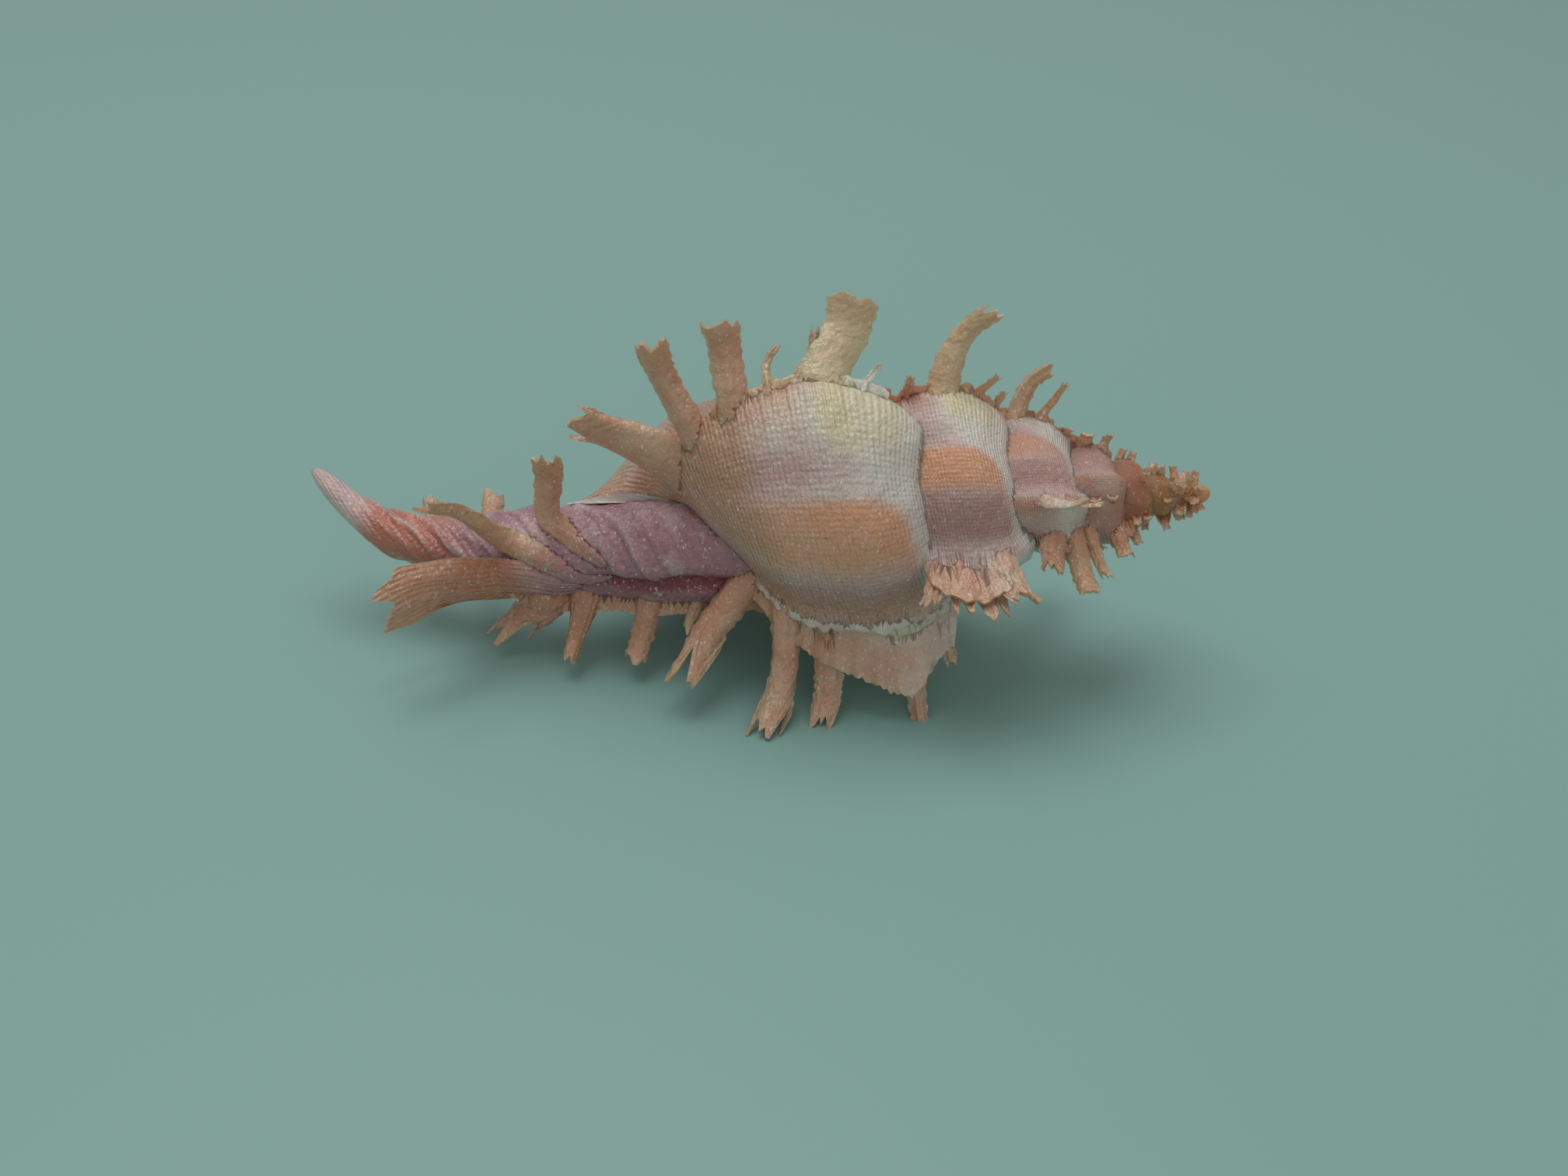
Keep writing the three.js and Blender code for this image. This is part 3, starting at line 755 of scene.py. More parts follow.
SPIRE_FRONDS: tuple[tuple[Frond, ...], ...] = (
    (
        Frond(40, (11.6, 193), (12.2, -0.4, 15.9), 0.7, 0.3, flare=0.9),
        Frond(41, (13.2, 193), (11.95, 0.7, 18.9), 2.3, 0.9, sway=0.6, cream=0.7, pale=0.2),
        Frond(42, (14.9, 190), (8.0, -0.6, 15.9), 0.8, 0.3, flare=0.9),
        Frond(43, (15.9, 188), (6.9, -0.9, 15.4), 0.6, 0.3, flare=0.9),
    ),
    group(
        Frond(44, (10.6, 81), (13.55, -8.7, 8.3), 1.7, 1.4, fray=0.3, pale=0.25, web=1.7),
        Frond(67, (11.5, 80), (12.4, -8.4, 7.3), 1.3, 1.2, fray=0.3, pale=0.1, web=1.9),
        Frond(45, (12.5, 80), (10.9, -8.4, 7.4), 1.5, 1.2, fray=0.3, web=1.8),
        Frond(46, (13.6, 80), (8.95, -8.5, 7.9), 1.4, 0.7, fray=0.2, web=1.3),
        half_arc=54.0, **BACKWARDS,
    ),
    (
        Frond(47, (8.4, 203), (15.6, 0.3, 15.3), 0.7, 0.3, flare=0.9),
        Frond(48, (9.6, 205), (14.95, 0.7, 15.9), 1.5, 0.6, sway=0.4, cream=0.15),
        Frond(49, (10.8, 203), (12.6, -0.2, 15.0), 0.7, 0.3, flare=0.9),
    ),
    group(
        Frond(50, (7.4, 117), (17.1, -4.9, 11.6), 0.8, 0.4, flare=0.9),
        Frond(51, (8.4, 117), (16.25, -5.6, 12.2), 1.3, 0.6, cream=0.2, pale=0.5),
        **BACKWARDS,
    ),
    group(
        Frond(52, (6.2, 72), (17.6, -6.0, 8.1), 1.1, 0.5, web=0.6),
        Frond(53, (7.0, 76), (16.75, -7.1, 7.8), 1.4, 0.9, web=0.7),
        Frond(54, (8.0, 84), (14.9, -6.4, 8.4), 1.7, 0.9, fray=0.3, web=0.7),
        **BACKWARDS,
    ),
    (
        Frond(55, (5.4, 200), (17.8, -0.9, 13.2), 0.6, 0.3, flare=0.9),
        Frond(56, (6.3, 200), (16.75, -0.7, 13.2), 1.1, 0.6),
        Frond(57, (7.2, 200), (15.9, -0.9, 13.4), 0.6, 0.3, flare=0.9),
    ),
    group(
        Frond(58, (4.0, 66), (19.4, -3.6, 8.5), 0.8, 0.4),
        Frond(59, (4.8, 66), (18.75, -4.3, 8.2), 1.2, 0.7),
        web=0.5, **BACKWARDS,
    ),
    (
        Frond(60, (12.6, 312), (11.8, 5.4, 5.0), 1.2, 0.7),
        Frond(61, (14.6, 312), (10.65, 7.1, 2.5), 2.6, 1.2),
        Frond(62, (16.2, 310), (7.6, 5.6, 3.4), 1.2, 0.7),
    ),
    (
        Frond(63, (9.4, 318), (14.5, 3.7, 4.9), 0.8, 0.5),
        Frond(64, (10.4, 318), (16.95, 4.5, 3.5), 1.8, 1.0),
    ),
    (
        Frond(65, (5.6, 344), (18.3, -0.4, 6.0), 0.7, 0.4),
        Frond(66, (6.6, 344), (18.75, 0.3, 5.5), 1.2, 0.6),
    ),
)


@dataclass(frozen=True)
class Web:
    """The thin ruffled edge that joins the fronds of one varix.

    It stands on a curve through the roots of the fronds and leans the way they do. Each frond
    says how high it is beside it, high is added at the frond, and its edge has small teeth. It
    starts root deep, and spacing is the most between two stops of the curve.
    """

    fronds: tuple[Frond, ...]
    high: float = 0.3
    tooth: float = 0.16
    pitch: float = 0.42
    thick: float = 0.42
    spacing: float = 1.4
    root: float = 0.8
    seed: int = 0
    pale: float = 0.0

    def stops(self, growth: Growth, canal: Canal) -> list[Array]:
        """Points of the surface under the web, with more where two fronds stand far apart."""
        made = [self.fronds[0].root(growth, canal)]
        for one, other in zip(self.fronds, self.fronds[1:]):
            start, end = np.array(one.place), np.array(other.place)
            at = canal.at if other.on_canal else growth.at
            if other.on_canal and not one.on_canal:
                start = np.array([0.06, start[1]])
                made.append(canal.at(*start))
            gap = float(np.linalg.norm(made[-1] - other.root(growth, canal)))
            count = max(1, round(gap / self.spacing))
            made += [at(*(start + (end - start) * k / count)) for k in range(1, count)]
            made.append(other.root(growth, canal))
        return made

    def skin(self, growth: Growth, canal: Canal) -> Skin:
        """The edge: four levels up its back and four down its front at each step along it."""
        rng = np.random.default_rng(self.seed)
        roots = np.array([frond.root(growth, canal) for frond in self.fronds])
        phis = np.array([frond.place[1] for frond in self.fronds], float)
        tips = np.array([frond.tip for frond in self.fronds])
        leans = unit(unit(tips - roots) + growth.outwards(phis))
        sizes = np.array([min(frond.width, 2.4) for frond in self.fronds])
        held = np.array(self.stops(growth, canal))
        held = np.vstack([held[0] * 1.6 - held[1] * 0.6, held, held[-1] * 1.6 - held[-2] * 0.6])
        length = float(np.linalg.norm(np.diff(held, axis=0), axis=1).sum())
        steps = max(12, int(length / 0.18))
        run = np.linspace(0, length, steps)
        foot = spline(held, run / length)
        gap = np.linalg.norm(foot[:, None] - roots[None], axis=2)
        closest = run[np.argmin(gap, axis=0)]

        def told(name: str) -> Array:
            """What the fronds say of themselves, read along the web."""
            return np.interp(run, closest, [float(getattr(frond, name)) for frond in self.fronds])

        lean = unit(np.stack([np.interp(run, closest, leans[:, k]) for k in range(3)], -1))
        near = np.max(np.minimum(sizes / 2.0, 1.0) * np.exp(-((gap / (0.62 * sizes + 0.25)) ** 2)), axis=1)
        height = told("web") + self.high * near
        sliding = 0.25 * np.sin(run * 1.7 + rng.uniform(0, ANY_PHASE))
        wave = np.sin(0.5 * np.pi * (np.abs((run / self.pitch + sliding) % 1.0 - 0.5) * 2.0))
        knots = np.arange(0, length + 2, 0.6)
        taller = np.interp(run, knots, rng.uniform(0.2, 1.5, len(knots)))
        left = np.minimum(run, length - run)
        height = (height + self.tooth * wave * taller) * np.minimum(1, left / 0.8 + 0.15)
        way = unit(np.gradient(foot, axis=0))
        out = growth.outwards(np.interp(run, closest, phis))
        side = unit(np.cross(way, out))
        side = side * np.sign(np.einsum("ij,ij->i", side, np.cross(growth.along, out)))[:, None]
        levels = np.array([0.0, 0.4, 0.75, 1.0])
        rise = -self.root + levels[None, :] * (height[:, None] + self.root)
        ruffle = 0.08 * np.sin(2 * np.pi * run / 1.1)[:, None] * levels[None, :]
        behind = self.thick * (1.02 - levels) ** 1.6 + 0.06
        before = self.thick * 0.5 * (1.02 - levels) + 0.06
        stem = foot[:, None] + lean[:, None] * rise[..., None]
        back = stem - side[:, None] * (behind - ruffle)[..., None]
        front = stem + side[:, None] * (before + ruffle)[..., None]
        rings = np.concatenate([back, front[:, ::-1]], axis=1)
        up = np.concatenate([levels, levels[::-1]])[None, :]
        lying = ease(told("on_canal"), 0.2, 0.6)[:, None]
        pales = np.array([max(frond.pale, self.pale) for frond in self.fronds])
        white = np.interp(run, closest, pales)[:, None]
        return tube_skin(rings, filled(
            rings.shape[:2], reach=(0.32 + 0.1 * up) * (1 - 0.7 * white), callus=white * (1 - lying),
            cream=told("cream")[:, None], along=0.5 * lying,
        ))


@dataclass(frozen=True)
class Mouth:
    """The mouth: a bowl cut into the underside around the operculum's seat.

    Args:
        middle, half: the middle and half sizes of the oval seat.
        top: height of the seat.
        walls: heights below the seat, and how many times wider than it the oval is there.
        bevel: how far below the top the wall starts to round in, and by how much it does.
        sides: points in a ring.
    """

    middle: Pair
    half: Pair
    top: float
    walls: tuple[Pair, ...] = (
        (-3.0, 1.9), (0.0, 1.72), (1.0, 1.55), (2.0, 1.38), (2.9, 1.22), (3.6, 1.1), (4.2, 1.03),
    )
    bevel: Pair = (0.15, 0.97)
    sides: int = 64

    def bowl(self) -> Skin:
        """Rings of an oval from below the shell up to the seat: straight, then flaring out."""
        drop, narrow = self.bevel
        heights, flares = np.array([*self.walls, (self.top - drop, 1.0), (self.top, narrow)]).T
        angle = np.linspace(0, 2 * np.pi, self.sides, endpoint=False)
        oval = np.stack([np.cos(angle) * self.half[0], np.sin(angle) * self.half[1]], -1)
        rings = np.zeros((len(heights), self.sides, 3))
        rings[..., :2] = np.array(self.middle) + oval[None] * flares[:, None, None]
        rings[..., 2] = heights[:, None]
        return stack_skin(rings, filled(rings.shape[:2], hollow=2.0))


@dataclass(frozen=True)
class Operculum:
    """The oval plate of horn: growth rings round a nucleus near one end, and a raised rim."""

    low: Array
    high: Array
    rings: int = 46
    sides: int = 96
    ridges: int = 9
    dish: float = 0.34
    ridge: float = 0.03
    bead: float = 0.16
    ripple: float = 0.012
    nucleus: float = 0.38

    def skin(self) -> Skin:
        """A plate whose outside is lowest at the rim and dished, with ridges between its rings.

        Height over the outside at share r from the nucleus to the edge: dish x (1 - r^2) plus
        ridge x cos(2 pi ridges r^0.8), and the rim is a round bead.
        """
        middle, half = (self.low + self.high) / 2, (self.high - self.low) / 2
        r = np.linspace(0.04, 1, self.rings)[:, None]
        angle = np.linspace(0, 2 * np.pi, self.sides, endpoint=False)[None, :]
        shift = self.nucleus * (1 - r) * half[0]
        wobble = 1 + self.ripple * np.sin(5 * angle + 1) * r
        x = middle[0] + shift + half[0] * r * np.cos(angle) * wobble / (1 + self.ripple)
        y = middle[1] + half[1] * r * np.sin(angle) * wobble / (1 + self.ripple)
        thick = self.high[2] - self.low[2]
        ridges = self.ridge * (0.5 + 0.5 * np.cos(2 * np.pi * self.ridges * r**0.8)) * (1 - ease(r, 0.9, 1))
        dish = self.dish * (1 - r**2) + ridges
        under = self.low[2] + thick * (dish + self.bead * (1 - bell(r, 0.93, 0.06)))
        edge = 0.5 * thick * ease(r, 0.965, 1.0)
        lower = np.stack([x, y, np.broadcast_to(under + edge * 0.9, x.shape)], -1)
        upper = np.stack([x, y, np.broadcast_to(self.high[2] - edge * 0.7, x.shape)], -1)
        share = np.broadcast_to(r, x.shape)
        rings, shares = (np.concatenate(halves) for halves in ([lower, upper[::-1]], [share, share[::-1]]))
        return stack_skin(rings, {"rim": shares})


Value = Socket | float | Colour
Layer = tuple[Value, Value] | tuple[Value, Value, str]


class Nodes:
    """A short way to write a material's nodes."""

    def __init__(self, name: str) -> None:
        """Starts a material with only its output and a Principled shader."""
        self.material = bpy.data.materials.new(name)
        self.material.use_nodes = True
        self.tree = self.material.node_tree
        self.shader = self.tree.nodes["Principled BSDF"]

    def add(self, kind: str, inputs: dict[str, object] | None = None, **settings: object) -> bpy.types.Node:
        """A node with its settings, and its inputs set to values or linked to sockets."""
        node = self.tree.nodes.new(kind)
        for key, value in settings.items():
            setattr(node, key, value)
        for key, value in (inputs or {}).items():
            self.feed(node.inputs[key], value)
        return node

    def feed(self, socket: Socket, value: object) -> None:
        """Links a socket to another one, or sets its value."""
        if isinstance(value, Socket):
            self.tree.links.new(value, socket)
        else:
            socket.default_value = value

    def trait(self, name: str) -> Socket:
        """A trait of the surface, as a number."""
        return self.add("ShaderNodeAttribute", attribute_name=name).outputs["Fac"]

    def maths(self, operation: str, *numbers: Value) -> Socket:
        """One sum of one, two or three numbers."""
        return self.add("ShaderNodeMath", dict(enumerate(numbers)), operation=operation).outputs[0]

    def times(self, one: Value, other: Value) -> Socket:
        """Two numbers multiplied."""
        return self.maths("MULTIPLY", one, other)

    def span(
        self, value: Value, low: float, high: float, to_low: float = 0.0, to_high: float = 1.0
    ) -> Socket:
        """Carries a range onto another, smoothly, and holds it there."""
        ends = dict(enumerate((value, low, high, to_low, to_high)))
        return self.add("ShaderNodeMapRange", ends, interpolation_type="SMOOTHSTEP").outputs[0]

    def mix(self, share: Value, first: Value, second: Value, blend: str = "MIX") -> Socket:
        """A mix of two colours."""
        node = self.add("ShaderNodeMix", data_type="RGBA", blend_type=blend)
        self.feed(next(s for s in node.inputs if s.name == "Factor" and s.type == "VALUE"), share)
        colours = [s for s in node.inputs if s.type == "RGBA"]
        for socket, value in zip(colours, (first, second)):
            self.feed(socket, value if isinstance(value, Socket) else (*value, 1.0))
        return next(s for s in node.outputs if s.type == "RGBA")

    def layered(self, colour: Value, layers: list[Layer]) -> Socket:
        """A colour with others laid over it in turn.

        Args:
            colour: the lowest one.
            layers: for each, how much of it there is, its colour and, unless plain, its blend.
        """
        for share, tint, *blend in layers:
            colour = self.mix(share, colour, tint, *blend)
        return colour

    def noise(self, scale: float, detail: float = 3.0, stretch: Point = (1, 1, 1)) -> Socket:
        """Noise on the piece's own coordinates. scale is in cycles for each metre."""
        place = self.add("ShaderNodeTexCoord").outputs["Object"]
        turned = self.add("ShaderNodeMapping", {"Vector": place, "Scale": stretch}).outputs[0]
        made = self.add("ShaderNodeTexNoise", {"Vector": turned, "Scale": scale, "Detail": detail})
        return made.outputs["Fac"]


@dataclass(frozen=True)
class ShellFinish:
    """Satin aragonite, tinted by where it grew: bands on the whorls, tan fronds, a rose canal. Painted
    shade darkens the cord valleys and the canal's crease and slit, and painted glints fleck it.
    """

    ground: Colour = (0.70, 0.54, 0.525)
    white: Colour = (0.79, 0.775, 0.72)
    blush: Colour = (0.79, 0.40, 0.22)
    mauve: Colour = (0.51, 0.265, 0.245)
    cream: Colour = (0.80, 0.73, 0.42)
    brown: Colour = (0.56, 0.30, 0.16)
    tan: Colour = (0.59, 0.295, 0.165)
    spire: Colour = (0.68, 0.45, 0.40)
    pink: Colour = (0.58, 0.26, 0.17)
    pale_tip: Colour = (0.64, 0.41, 0.25)
    rose: Colour = (0.40, 0.195, 0.24)
    painted_crease_shade: Colour = (0.25, 0.03, 0.05)
    # colour of the painted shade in the canal's crease and slit
    red: Colour = (0.58, 0.18, 0.09)
    gold: Colour = (0.66, 0.33, 0.11)
    lining: Colour = (0.74, 0.58, 0.40)
    # colour of the painted glint specks
    painted_glint: Colour = (0.93, 0.91, 0.88)
    roughness: float = 0.38
    coat: float = 0.8
    coat_roughness: float = 0.1
    skin_depth: float = 0.0011
    beads: float = 140.0
    # tint multiplied into the cord valleys as painted shade
    shade: Colour = (0.8, 0.62, 0.58)
    skin_share: float = 0.3
    skin_colours: Colour = (1.0, 0.45, 0.3)
    relief: float = 0.00011

    def material(self) -> bpy.types.Material:
        """The finish, mixed from its tints by the traits of the surface."""
        n = Nodes("shell_finish")
        mottle, grain_and_glints = n.noise(420.0, 4.0), n.noise(2600.0, 2.0)
        uneven = n.span(mottle, 0.3, 0.7, 0.75, 1.2)
        along, reach, hollow = n.trait("along"), n.trait("reach"), n.trait("hollow")
        place = n.add("ShaderNodeSeparateXYZ", {"Vector": n.add("ShaderNodeTexCoord").outputs["Object"]})
        up_spire = place.outputs[0]

        def by(name: str, top: float = 1.0) -> Socket:
            """A trait made uneven by the mottling."""
            return n.span(n.times(n.trait(name), uneven), 0.0, 1.0, 0.0, top)

        def wave(name: str, pitch: float) -> Socket:
            """1 where pitch times a trait is a whole number, and 0 half way between."""
            run = n.trait(name) if pitch == 1.0 else n.times(n.trait(name), pitch)
            return n.span(n.maths("PINGPONG", run, 0.5), 0.45, 0.05)

        ridge, knot = wave("cord", 1.0), wave("turn", self.beads)
        tan = n.mix(n.span(mottle, 0.4, 0.65), self.tan, self.pale_tip)
        frond = n.layered(tan, [(n.span(hollow, 0.2, 0.8), self.pink), (by("blush", 0.8), self.red)])
        # noise for painted glints: specks stretched along the cords
        painted_glint_specks = n.noise(5600.0, 1.0, (1.5, 0.8, 0.8))
        colour = n.layered(self.ground, [
            (n.span(mottle, 0.35, 0.65), self.white),
            (by("mauve", 0.9), self.mauve),
            (by("blush", 0.95), self.blush),
            (by("brown", 0.85), self.brown),
            (by("cream"), self.cream),
            (n.span(up_spire, 0.011, 0.0165, 0.0, 0.7), self.spire),
            (n.span(up_spire, 0.0172, 0.0194, 0.0, 0.85), self.red),
            (n.span(up_spire, 0.0188, 0.0205), self.gold),
            (n.span(along, 0.004, 0.03), self.rose),
            (n.times(n.span(mottle, 0.45, 0.7), n.span(along, 0.02, 0.1, 0.0, 0.6)), self.ground),
            (n.span(along, 0.58, 0.74, 0.0, 0.85), self.red),
            (n.span(along, 0.82, 0.9), self.ground),
            (n.times(by("blush", 0.8), n.span(along, 0.5, 0.7)), self.red),
            # painted shade in the canal's crease, along its slit and beside the crease
            (by("crease"), self.painted_crease_shade),
            (n.times(n.span(reach, 0.02, 0.4), 0.92), frond),
            (n.times(by("callus", 0.95), n.span(up_spire, 0.0155, 0.018, 1.0, 0.0)), self.white),
            (by("cream", 0.6), self.cream),
            (n.times(n.span(reach, 0.72, 1.0), 0.7), self.pale_tip),
            (n.span(hollow, 1.2, 1.9), self.lining),
            # painted shade: the valleys between the cords are darkened
            (n.times(n.maths("SUBTRACT", 1.0, ridge), 0.11), self.shade, "MULTIPLY"),
            # painted glints: white specks on the grain noise and brighter specks stand in for highlights on
            # the beads
            (n.span(grain_and_glints, 0.62, 0.74, 0.0, 0.25), self.white),
            (n.span(painted_glint_specks, 0.66, 0.72, 0.0, 0.55), self.painted_glint),
        ])
        n.feed(n.shader.inputs["Base Color"], colour)
        rough = n.span(grain_and_glints, 0.35, 0.7, self.roughness + 0.14, self.roughness - 0.08)
        n.feed(n.shader.inputs["Roughness"], rough)
        n.shader.inputs["Coat Weight"].default_value = self.coat
        n.shader.inputs["Coat Roughness"].default_value = self.coat_roughness
        n.shader.inputs["Subsurface Weight"].default_value = self.skin_share
        n.shader.inputs["Subsurface Radius"].default_value = self.skin_colours
        n.shader.inputs["Subsurface Scale"].default_value = self.skin_depth
        beaded = n.times(n.times(ridge, n.maths("MULTIPLY_ADD", knot, 0.6, 0.5)), 0.38)
        lumps = n.times(n.noise(1100.0, 2.0), 1.6)
        height = n.maths("ADD", beaded, n.maths("MULTIPLY_ADD", n.noise(3800.0, 3.0), 1.2, lumps))
        bump = n.add("ShaderNodeBump", {"Height": height, "Strength": 1.0, "Distance": self.relief})
        for name in ("Normal", "Coat Normal"):
            n.feed(n.shader.inputs[name], bump.outputs[0])
        return n.material


@dataclass(frozen=True)
class HornFinish:
    """Dark red-brown horn with finer rings and an olive rim."""

    horn: Colour = (0.055, 0.012, 0.006)
    worn: Colour = (0.13, 0.035, 0.012)
    rim: Colour = (0.22, 0.15, 0.05)
    roughness: float = 0.32
    pitch: float = 0.025
    relief: float = 0.00004

    def material(self) -> bpy.types.Material:
        """The finish, by the share of the way from the nucleus to the rim."""
        n = Nodes("horn_finish")
        share = n.trait("rim")
        wobble = n.maths("MULTIPLY_ADD", n.noise(700.0), 0.06, 0.5)
        lines = n.span(n.maths("PINGPONG", n.maths("ADD", share, wobble), self.pitch), 0.0, self.pitch)
        colour = n.layered(self.horn, [(lines, self.worn), (n.span(share, 0.84, 0.95), self.rim)])
        n.feed(n.shader.inputs["Base Color"], colour)
        n.feed(n.shader.inputs["Roughness"], n.span(lines, 0.0, 1.0, self.roughness, self.roughness + 0.15))
        bump = n.add("ShaderNodeBump", {"Height": lines, "Strength": 0.5, "Distance": self.relief})
        n.feed(n.shader.inputs["Normal"], bump.outputs[0])
        return n.material


@dataclass(frozen=True)
class FloorFinish:
    """A plain pale floor."""

    colour: Colour = (0.264, 0.485, 0.446)
    roughness: float = 0.5

    def material(self) -> bpy.types.Material:
        """One even colour."""
        n = Nodes("floor_finish")
        n.shader.inputs["Base Color"].default_value = (*self.colour, 1.0)
        n.shader.inputs["Roughness"].default_value = self.roughness
        return n.material


# fronds of the top row that stand clear of its web
WEBLESS = (5, 6)


class Murex:
    """The shell and its operculum."""

    def __init__(self, growth: Growth) -> None:
        """Keeps the law of growth and works out the canal."""
        self.rows = [*FRONDS.values(), *SPIRE_FRONDS]
        fronds = [frond for row in self.rows for frond in row if not frond.on_canal]
        spots = tuple((*growth.placed(*frond.place), frond.width) for frond in fronds)
        self.growth = replace(growth, buttresses=spots)
        self.canal = Canal(growth)
        self.plate = tuple(np.array(corner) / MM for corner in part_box("operculum"))

    def shell(self, finish: ShellFinish, seat: float = 0.3, sharp: float = 70.0) -> Object:
        """The whole shell as one closed mesh: whorls, canal, fronds and webs joined into one.

        Args:
            finish: its finish.
            seat: room around the operculum.
            sharp: the edge angle up to which it is shaded smoothly.
        """
        g, canal = self.growth, self.canal
        whole = Whorls(g).skin().piece("murex_shell")
        parts = [canal.skin().piece("canal")]
        for k, fronds in enumerate(self.rows):
            small = k >= len(FRONDS)
            sizes = {"high": 0.25, "thick": 0.4, "tooth": 0.3, "pitch": 0.5} if small else {}
            webbed = tuple(frond for frond in fronds if k or not (frond.on_canal or frond.seed in WEBLESS))
            parts.append(Web(webbed, seed=100 + k, **sizes).skin(g, canal).piece(f"web_{k}"))
            parts += [frond.skin(g, canal).piece(f"frond_{frond.seed}") for frond in fronds]
        parts.append(self.ledge().skin(g, canal).piece("ledge"))
        parts += [spine.skin(g, canal).piece(f"spine_{spine.seed}") for spine in self.early_spines()]
        parts.append(self.first_whorl().piece("first_whorl"))
        low, high = self.plate
        middle, half = (low[:2] + high[:2]) / 2, (high[:2] - low[:2]) / 2 + seat
        mouth = Mouth(tuple(middle), tuple(half), high[2] + seat).bowl().piece("mouth")
        below = box_skin((-60.0, -60.0, -40.0), (60.0, 60.0, 0.0)).piece("below")
        return dressed(joined(whole, parts, [mouth, below]), finish.material(), sharp)

    def ledge(self) -> Web:
        """The white scalloped ledge just above the near row, where new growth set in."""
        near = [frond for frond in FRONDS[Row.NEAR] if not frond.on_canal]
        down, turned = 0.4, 6.5
        moved = [replace(f, place=(f.place[0] + down, f.place[1] + turned), web=0.05) for f in near]
        return Web(tuple(moved), high=0.1, tooth=0.24, pitch=0.9, thick=0.4, seed=90, pale=0.5)

    def early_spines(self) -> list[Frond]:
        """Small blunt spines in a spiral along the first whorls, longer on the larger ones."""
        g = self.growth
        rng = np.random.default_rng(7)
        first, last, step = 1000.0, 3150.0, 66.0
        shoulder, side = 19.8, 22.6
        made = []
        for k, turn in enumerate(np.arange(first, last, step)):
            size = float(g.size(np.array(-turn)))
            phi = (g.lip_phi - turn) % 360.0
            for j, v in enumerate((shoulder,) if k % 2 else (shoulder, side)):
                t = v * size
                root, way = g.at(t, phi), g.outwards(np.array([phi + rng.uniform(-12, 12)]))[0]
                long = max(2.4 * size, 0.4) + rng.uniform(0, 0.35)
                tip = root + way * long - g.along * long * rng.uniform(-0.35, 0.5)
                wide = max(2.6 * size, 0.55)
                number = 200 + 3 * k + j
                made.append(Frond(number, (t, phi), tuple(tip), wide, wide * 0.6, sink=0.3, side_points=7))
        return made

    def first_whorl(self) -> Skin:
        """The round first whorl at the apex: a slightly long ball about the axis."""
        g = self.growth
        turn, lift = np.meshgrid(np.linspace(0, 360, 24, endpoint=False), np.linspace(-80, 80, 13))
        t = 0.7 + 0.68 * np.sin(np.radians(lift))
        rho = 0.5 * np.cos(np.radians(lift)) * (1 + 0.05 * np.sin(np.radians(turn * 3 + lift * 2)))
        return stack_skin(g.polar(t, rho, turn), filled(t.shape, turn=-g.whorls))

    def operculum(self, finish: HornFinish, sharp: float = 60.0) -> Object:
        """The plate of horn, in the space of its solid."""
        made = Operculum(*self.plate).skin().piece("operculum_plate")
        return dressed(made, finish.material(), sharp)


def box_skin(low: Point, high: Point) -> Skin:
    """A box between two corners."""
    x, y, z = zip(low, high)
    points = np.array([[a, b, c] for a in x for b in y for c in z])
    faces = [[0, 1, 3, 2], [4, 6, 7, 5], [0, 4, 5, 1], [2, 3, 7, 6], [0, 2, 6, 4], [1, 5, 7, 3]]
    return Skin(points, faces, filled((len(points),)))


def joined(whole: Object, parts: list[Object], holes: list[Object]) -> Object:
    """One closed mesh: whole and parts joined where they meet, less the holes.

    Args:
        whole: the object that is kept.
        parts: closed objects to join to it, which are removed.
        holes: closed objects to cut out of it, which are removed.
    """
    for operation, others in (("UNION", parts), ("DIFFERENCE", holes)):
        group = bpy.data.collections.new(operation)
        bpy.context.scene.collection.children.link(group)
        for other in others:
            group.objects.link(other)
        cut = whole.modifiers.new(operation, "BOOLEAN")
        cut.operation, cut.solver = operation, "MANIFOLD"
        cut.operand_type, cut.collection = "COLLECTION", group
    graph = bpy.context.evaluated_depsgraph_get()
    mesh = bpy.data.meshes.new_from_object(whole.evaluated_get(graph))
    whole.modifiers.clear()
    whole.data = mesh
    drop_crumbs(mesh)
    fill_traits(mesh)
    for other in [*parts, *holes]:
        bpy.data.objects.remove(other)
    for name in ("UNION", "DIFFERENCE"):
        bpy.data.collections.remove(bpy.data.collections[name])
    return whole


def edge_ends(mesh: bpy.types.Mesh) -> Array:
    """The two points that each edge joins."""
    pairs = np.zeros(2 * len(mesh.edges), np.int32)
    mesh.edges.foreach_get("vertices", pairs)
    return pairs.reshape(-1, 2)


def drop_crumbs(mesh: bpy.types.Mesh) -> None:
    """Removes the crumbs that a cut leaves: all but the largest connected part.

    Each point takes the lowest number that it can reach along edges, so that every connected
    part ends with a number of its own.
    """
    a, b = edge_ends(mesh).T
    label = np.arange(len(mesh.vertices))
    while True:
        lowest = label.copy()
        np.minimum.at(lowest, a, label[b])
        np.minimum.at(lowest, b, label[a])
        lowest = lowest[lowest]
        if np.array_equal(lowest, label):
            break
        label = lowest
    kept = np.bincount(label).argmax()
    shape = bmesh.new()
    shape.from_mesh(mesh)
    shape.verts.ensure_lookup_table()
    crumbs = [shape.verts[k] for k in np.flatnonzero(label != kept)]
    bmesh.ops.delete(shape, geom=crumbs, context="VERTS")
    shape.to_mesh(mesh)
    shape.free()


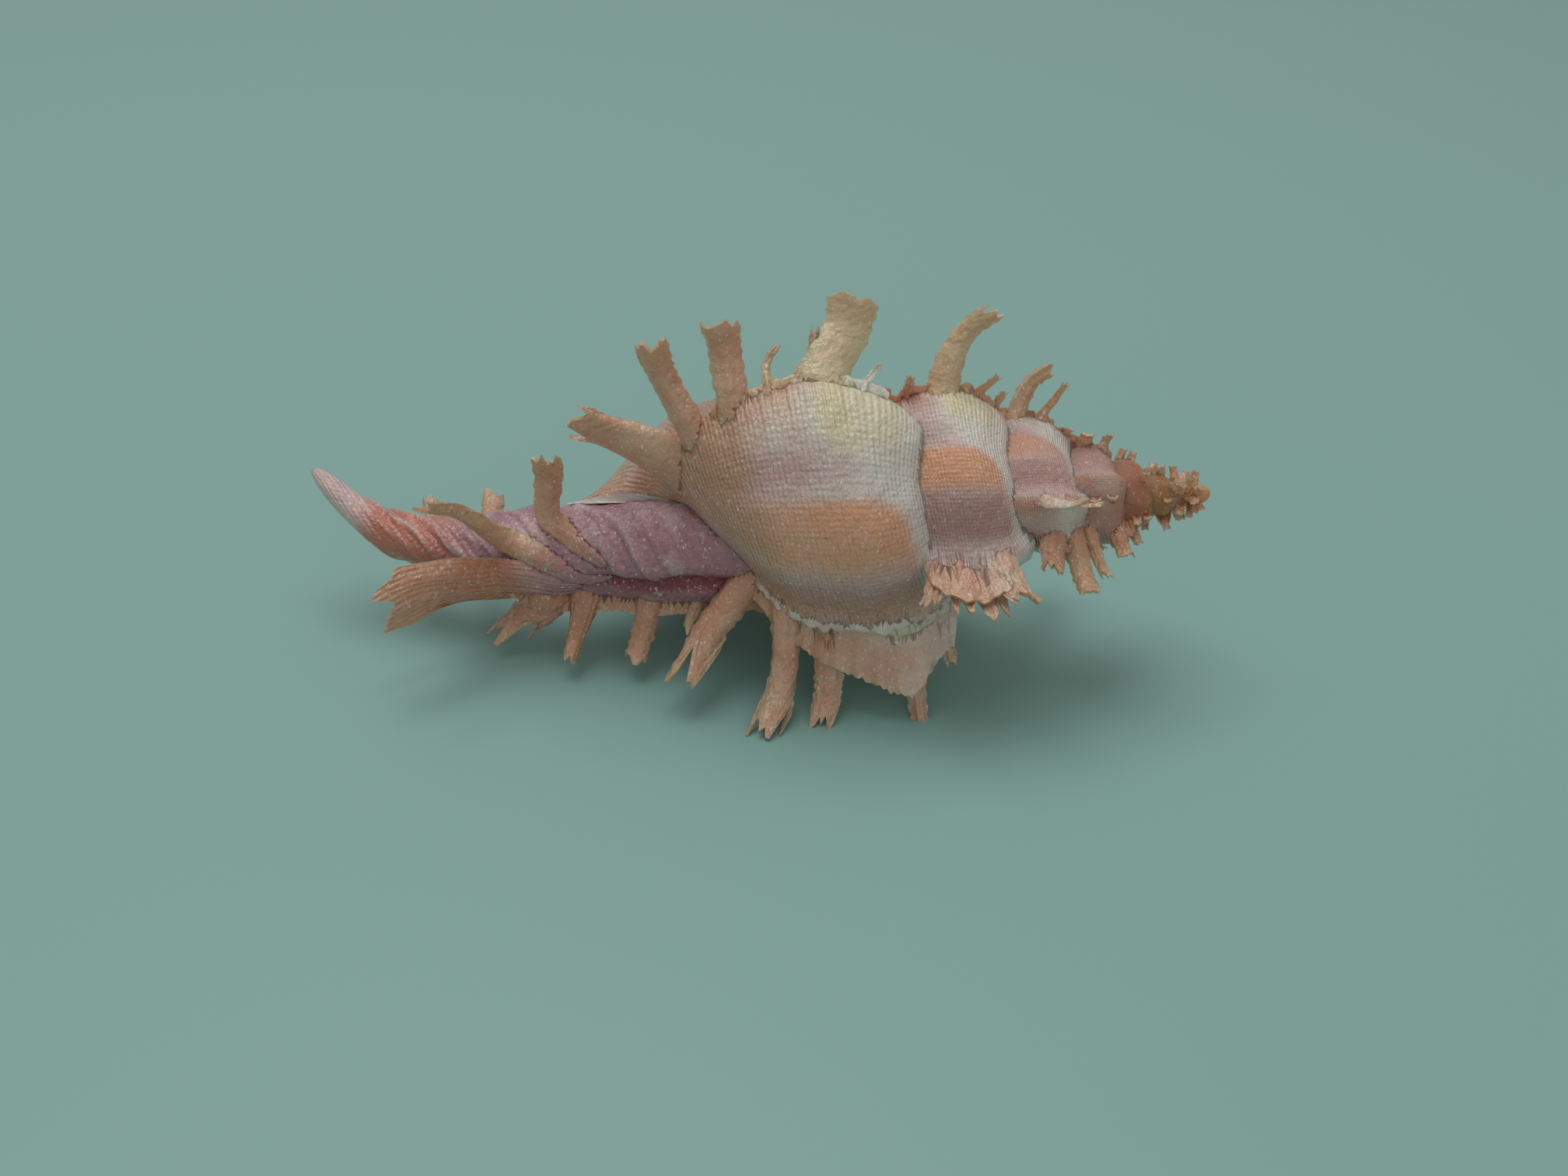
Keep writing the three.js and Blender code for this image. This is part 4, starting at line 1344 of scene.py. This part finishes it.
def fill_traits(mesh: bpy.types.Mesh) -> None:
    """Gives traits to the points that a cut made, which have none.

    In rounds, each bare point takes the mean of the neighbours that have traits. cord and turn
    count along the coil, so there the point takes its neighbours' highest or lowest value.
    """
    count = len(mesh.vertices)
    ends = edge_ends(mesh)
    one, other = np.concatenate([ends, ends[:, ::-1]]).T
    values = np.zeros((len(TRAITS), count), np.float32)
    for trait, row in zip(TRAITS, values):
        mesh.attributes[trait].data.foreach_get("value", row)
    picks = {"cord": (np.maximum, -np.inf), "turn": (np.minimum, np.inf)}
    known = np.any(values != 0, axis=0)
    while np.any(use := known[other] & ~known[one]):
        here, there = one[use], other[use]
        number = np.bincount(here, minlength=count)
        fresh = number > 0
        for trait, row in zip(TRAITS, values):
            if trait in picks:
                pick, start = picks[trait]
                found = np.full(count, start)
                pick.at(found, here, row[there])
            else:
                found = np.bincount(here, row[there], count) / np.maximum(number, 1)
            row[fresh] = found[fresh]
        known |= fresh
    for trait, row in zip(TRAITS, values):
        mesh.attributes[trait].data.foreach_set("value", row)


def dressed(piece: Object, material: bpy.types.Material, sharp: float) -> Object:
    """Smooth shading up to an edge angle and a material, riding on the root."""
    piece.data.materials.clear()
    piece.data.materials.append(material)
    piece.data.shade_smooth()
    piece.data.set_sharp_from_angle(angle=math.radians(sharp))
    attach(piece, "root")
    LOG.info("%s: %d faces", piece.name, len(piece.data.polygons))
    return piece


@dataclass(frozen=True)
class Studio:
    """A plain floor, a soft light above, a weaker one in front and the camera.

    camera_at is in millimetres and angles are in degrees. Each light is its place and size in
    metres and its power in watts.
    """

    camera_at: Point = (2.25, -67.76, 50.75)
    pitch: float = 35.23
    roll: float = 1.64
    lens: float = 36.41
    sensor: float = 36.0
    floor_size: float = 4.0
    lights: tuple[tuple[str, Point, float, float], ...] = (
        ("light_above", (-0.05, 0.06, 0.35), 0.26, 0.55),
        ("light_front", (0.12, -0.4, 0.25), 0.3, 0.15),
    )
    sky: float = 0.33
    sky_colour: Colour = (1.0, 0.93, 0.88)
    aim: Point = (0.0, 0.0, 0.01)

    def build(self) -> None:
        """Adds the floor, the lights, the surroundings and the camera."""
        half = self.floor_size / 2
        mesh = bpy.data.meshes.new("floor")
        corners = [(-half, -half, 0.0), (half, -half, 0.0), (half, half, 0.0), (-half, half, 0.0)]
        mesh.from_pydata(corners, [], [[0, 1, 2, 3]])
        floor = bpy.data.objects.new("floor", mesh)
        floor.data.materials.append(FloorFinish().material())
        bpy.context.scene.collection.objects.link(floor)
        for light in self.lights:
            self.light(*light)
        world = bpy.data.worlds.new("surroundings")
        world.use_nodes = True
        sky = world.node_tree.nodes["Background"]
        sky.inputs["Color"].default_value = (*self.sky_colour, 1.0)
        sky.inputs["Strength"].default_value = self.sky
        bpy.context.scene.world = world
        self.camera()

    def light(self, name: str, place: Point, size: float, power: float) -> None:
        """A square soft light that faces the shell."""
        data = bpy.data.lights.new(name, "AREA")
        data.size, data.energy = size, power
        lamp = bpy.data.objects.new(name, data)
        lamp.location = place
        lamp.rotation_euler = (Vector(self.aim) - Vector(place)).to_track_quat("-Z", "Y").to_euler()
        bpy.context.scene.collection.objects.link(lamp)

    def camera(self) -> None:
        """The camera: it looks along +Y, tipped down, and is rolled slightly."""
        data = bpy.data.cameras.new("camera")
        data.lens, data.sensor_width, data.clip_start = self.lens, self.sensor, MM
        camera = bpy.data.objects.new("camera", data)
        tipped = Matrix.Rotation(math.radians(90.0 - self.pitch), 4, "X")
        rolled = Matrix.Rotation(math.radians(self.roll), 4, "Z")
        camera.matrix_world = Matrix.Translation(Vector(self.camera_at) * MM) @ tipped @ rolled
        bpy.context.scene.collection.objects.link(camera)
        bpy.context.scene.camera = camera


def main() -> None:
    """Builds the shell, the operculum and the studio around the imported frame."""
    logging.basicConfig(level=logging.INFO, format="%(message)s")
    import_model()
    murex = Murex(Growth())
    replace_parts(murex.shell(ShellFinish()), "shell")
    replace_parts(murex.operculum(HornFinish()), "operculum")
    Studio().build()
    bpy.context.scene.view_settings.view_transform = "Standard"


if __name__ == "__main__":
    main()
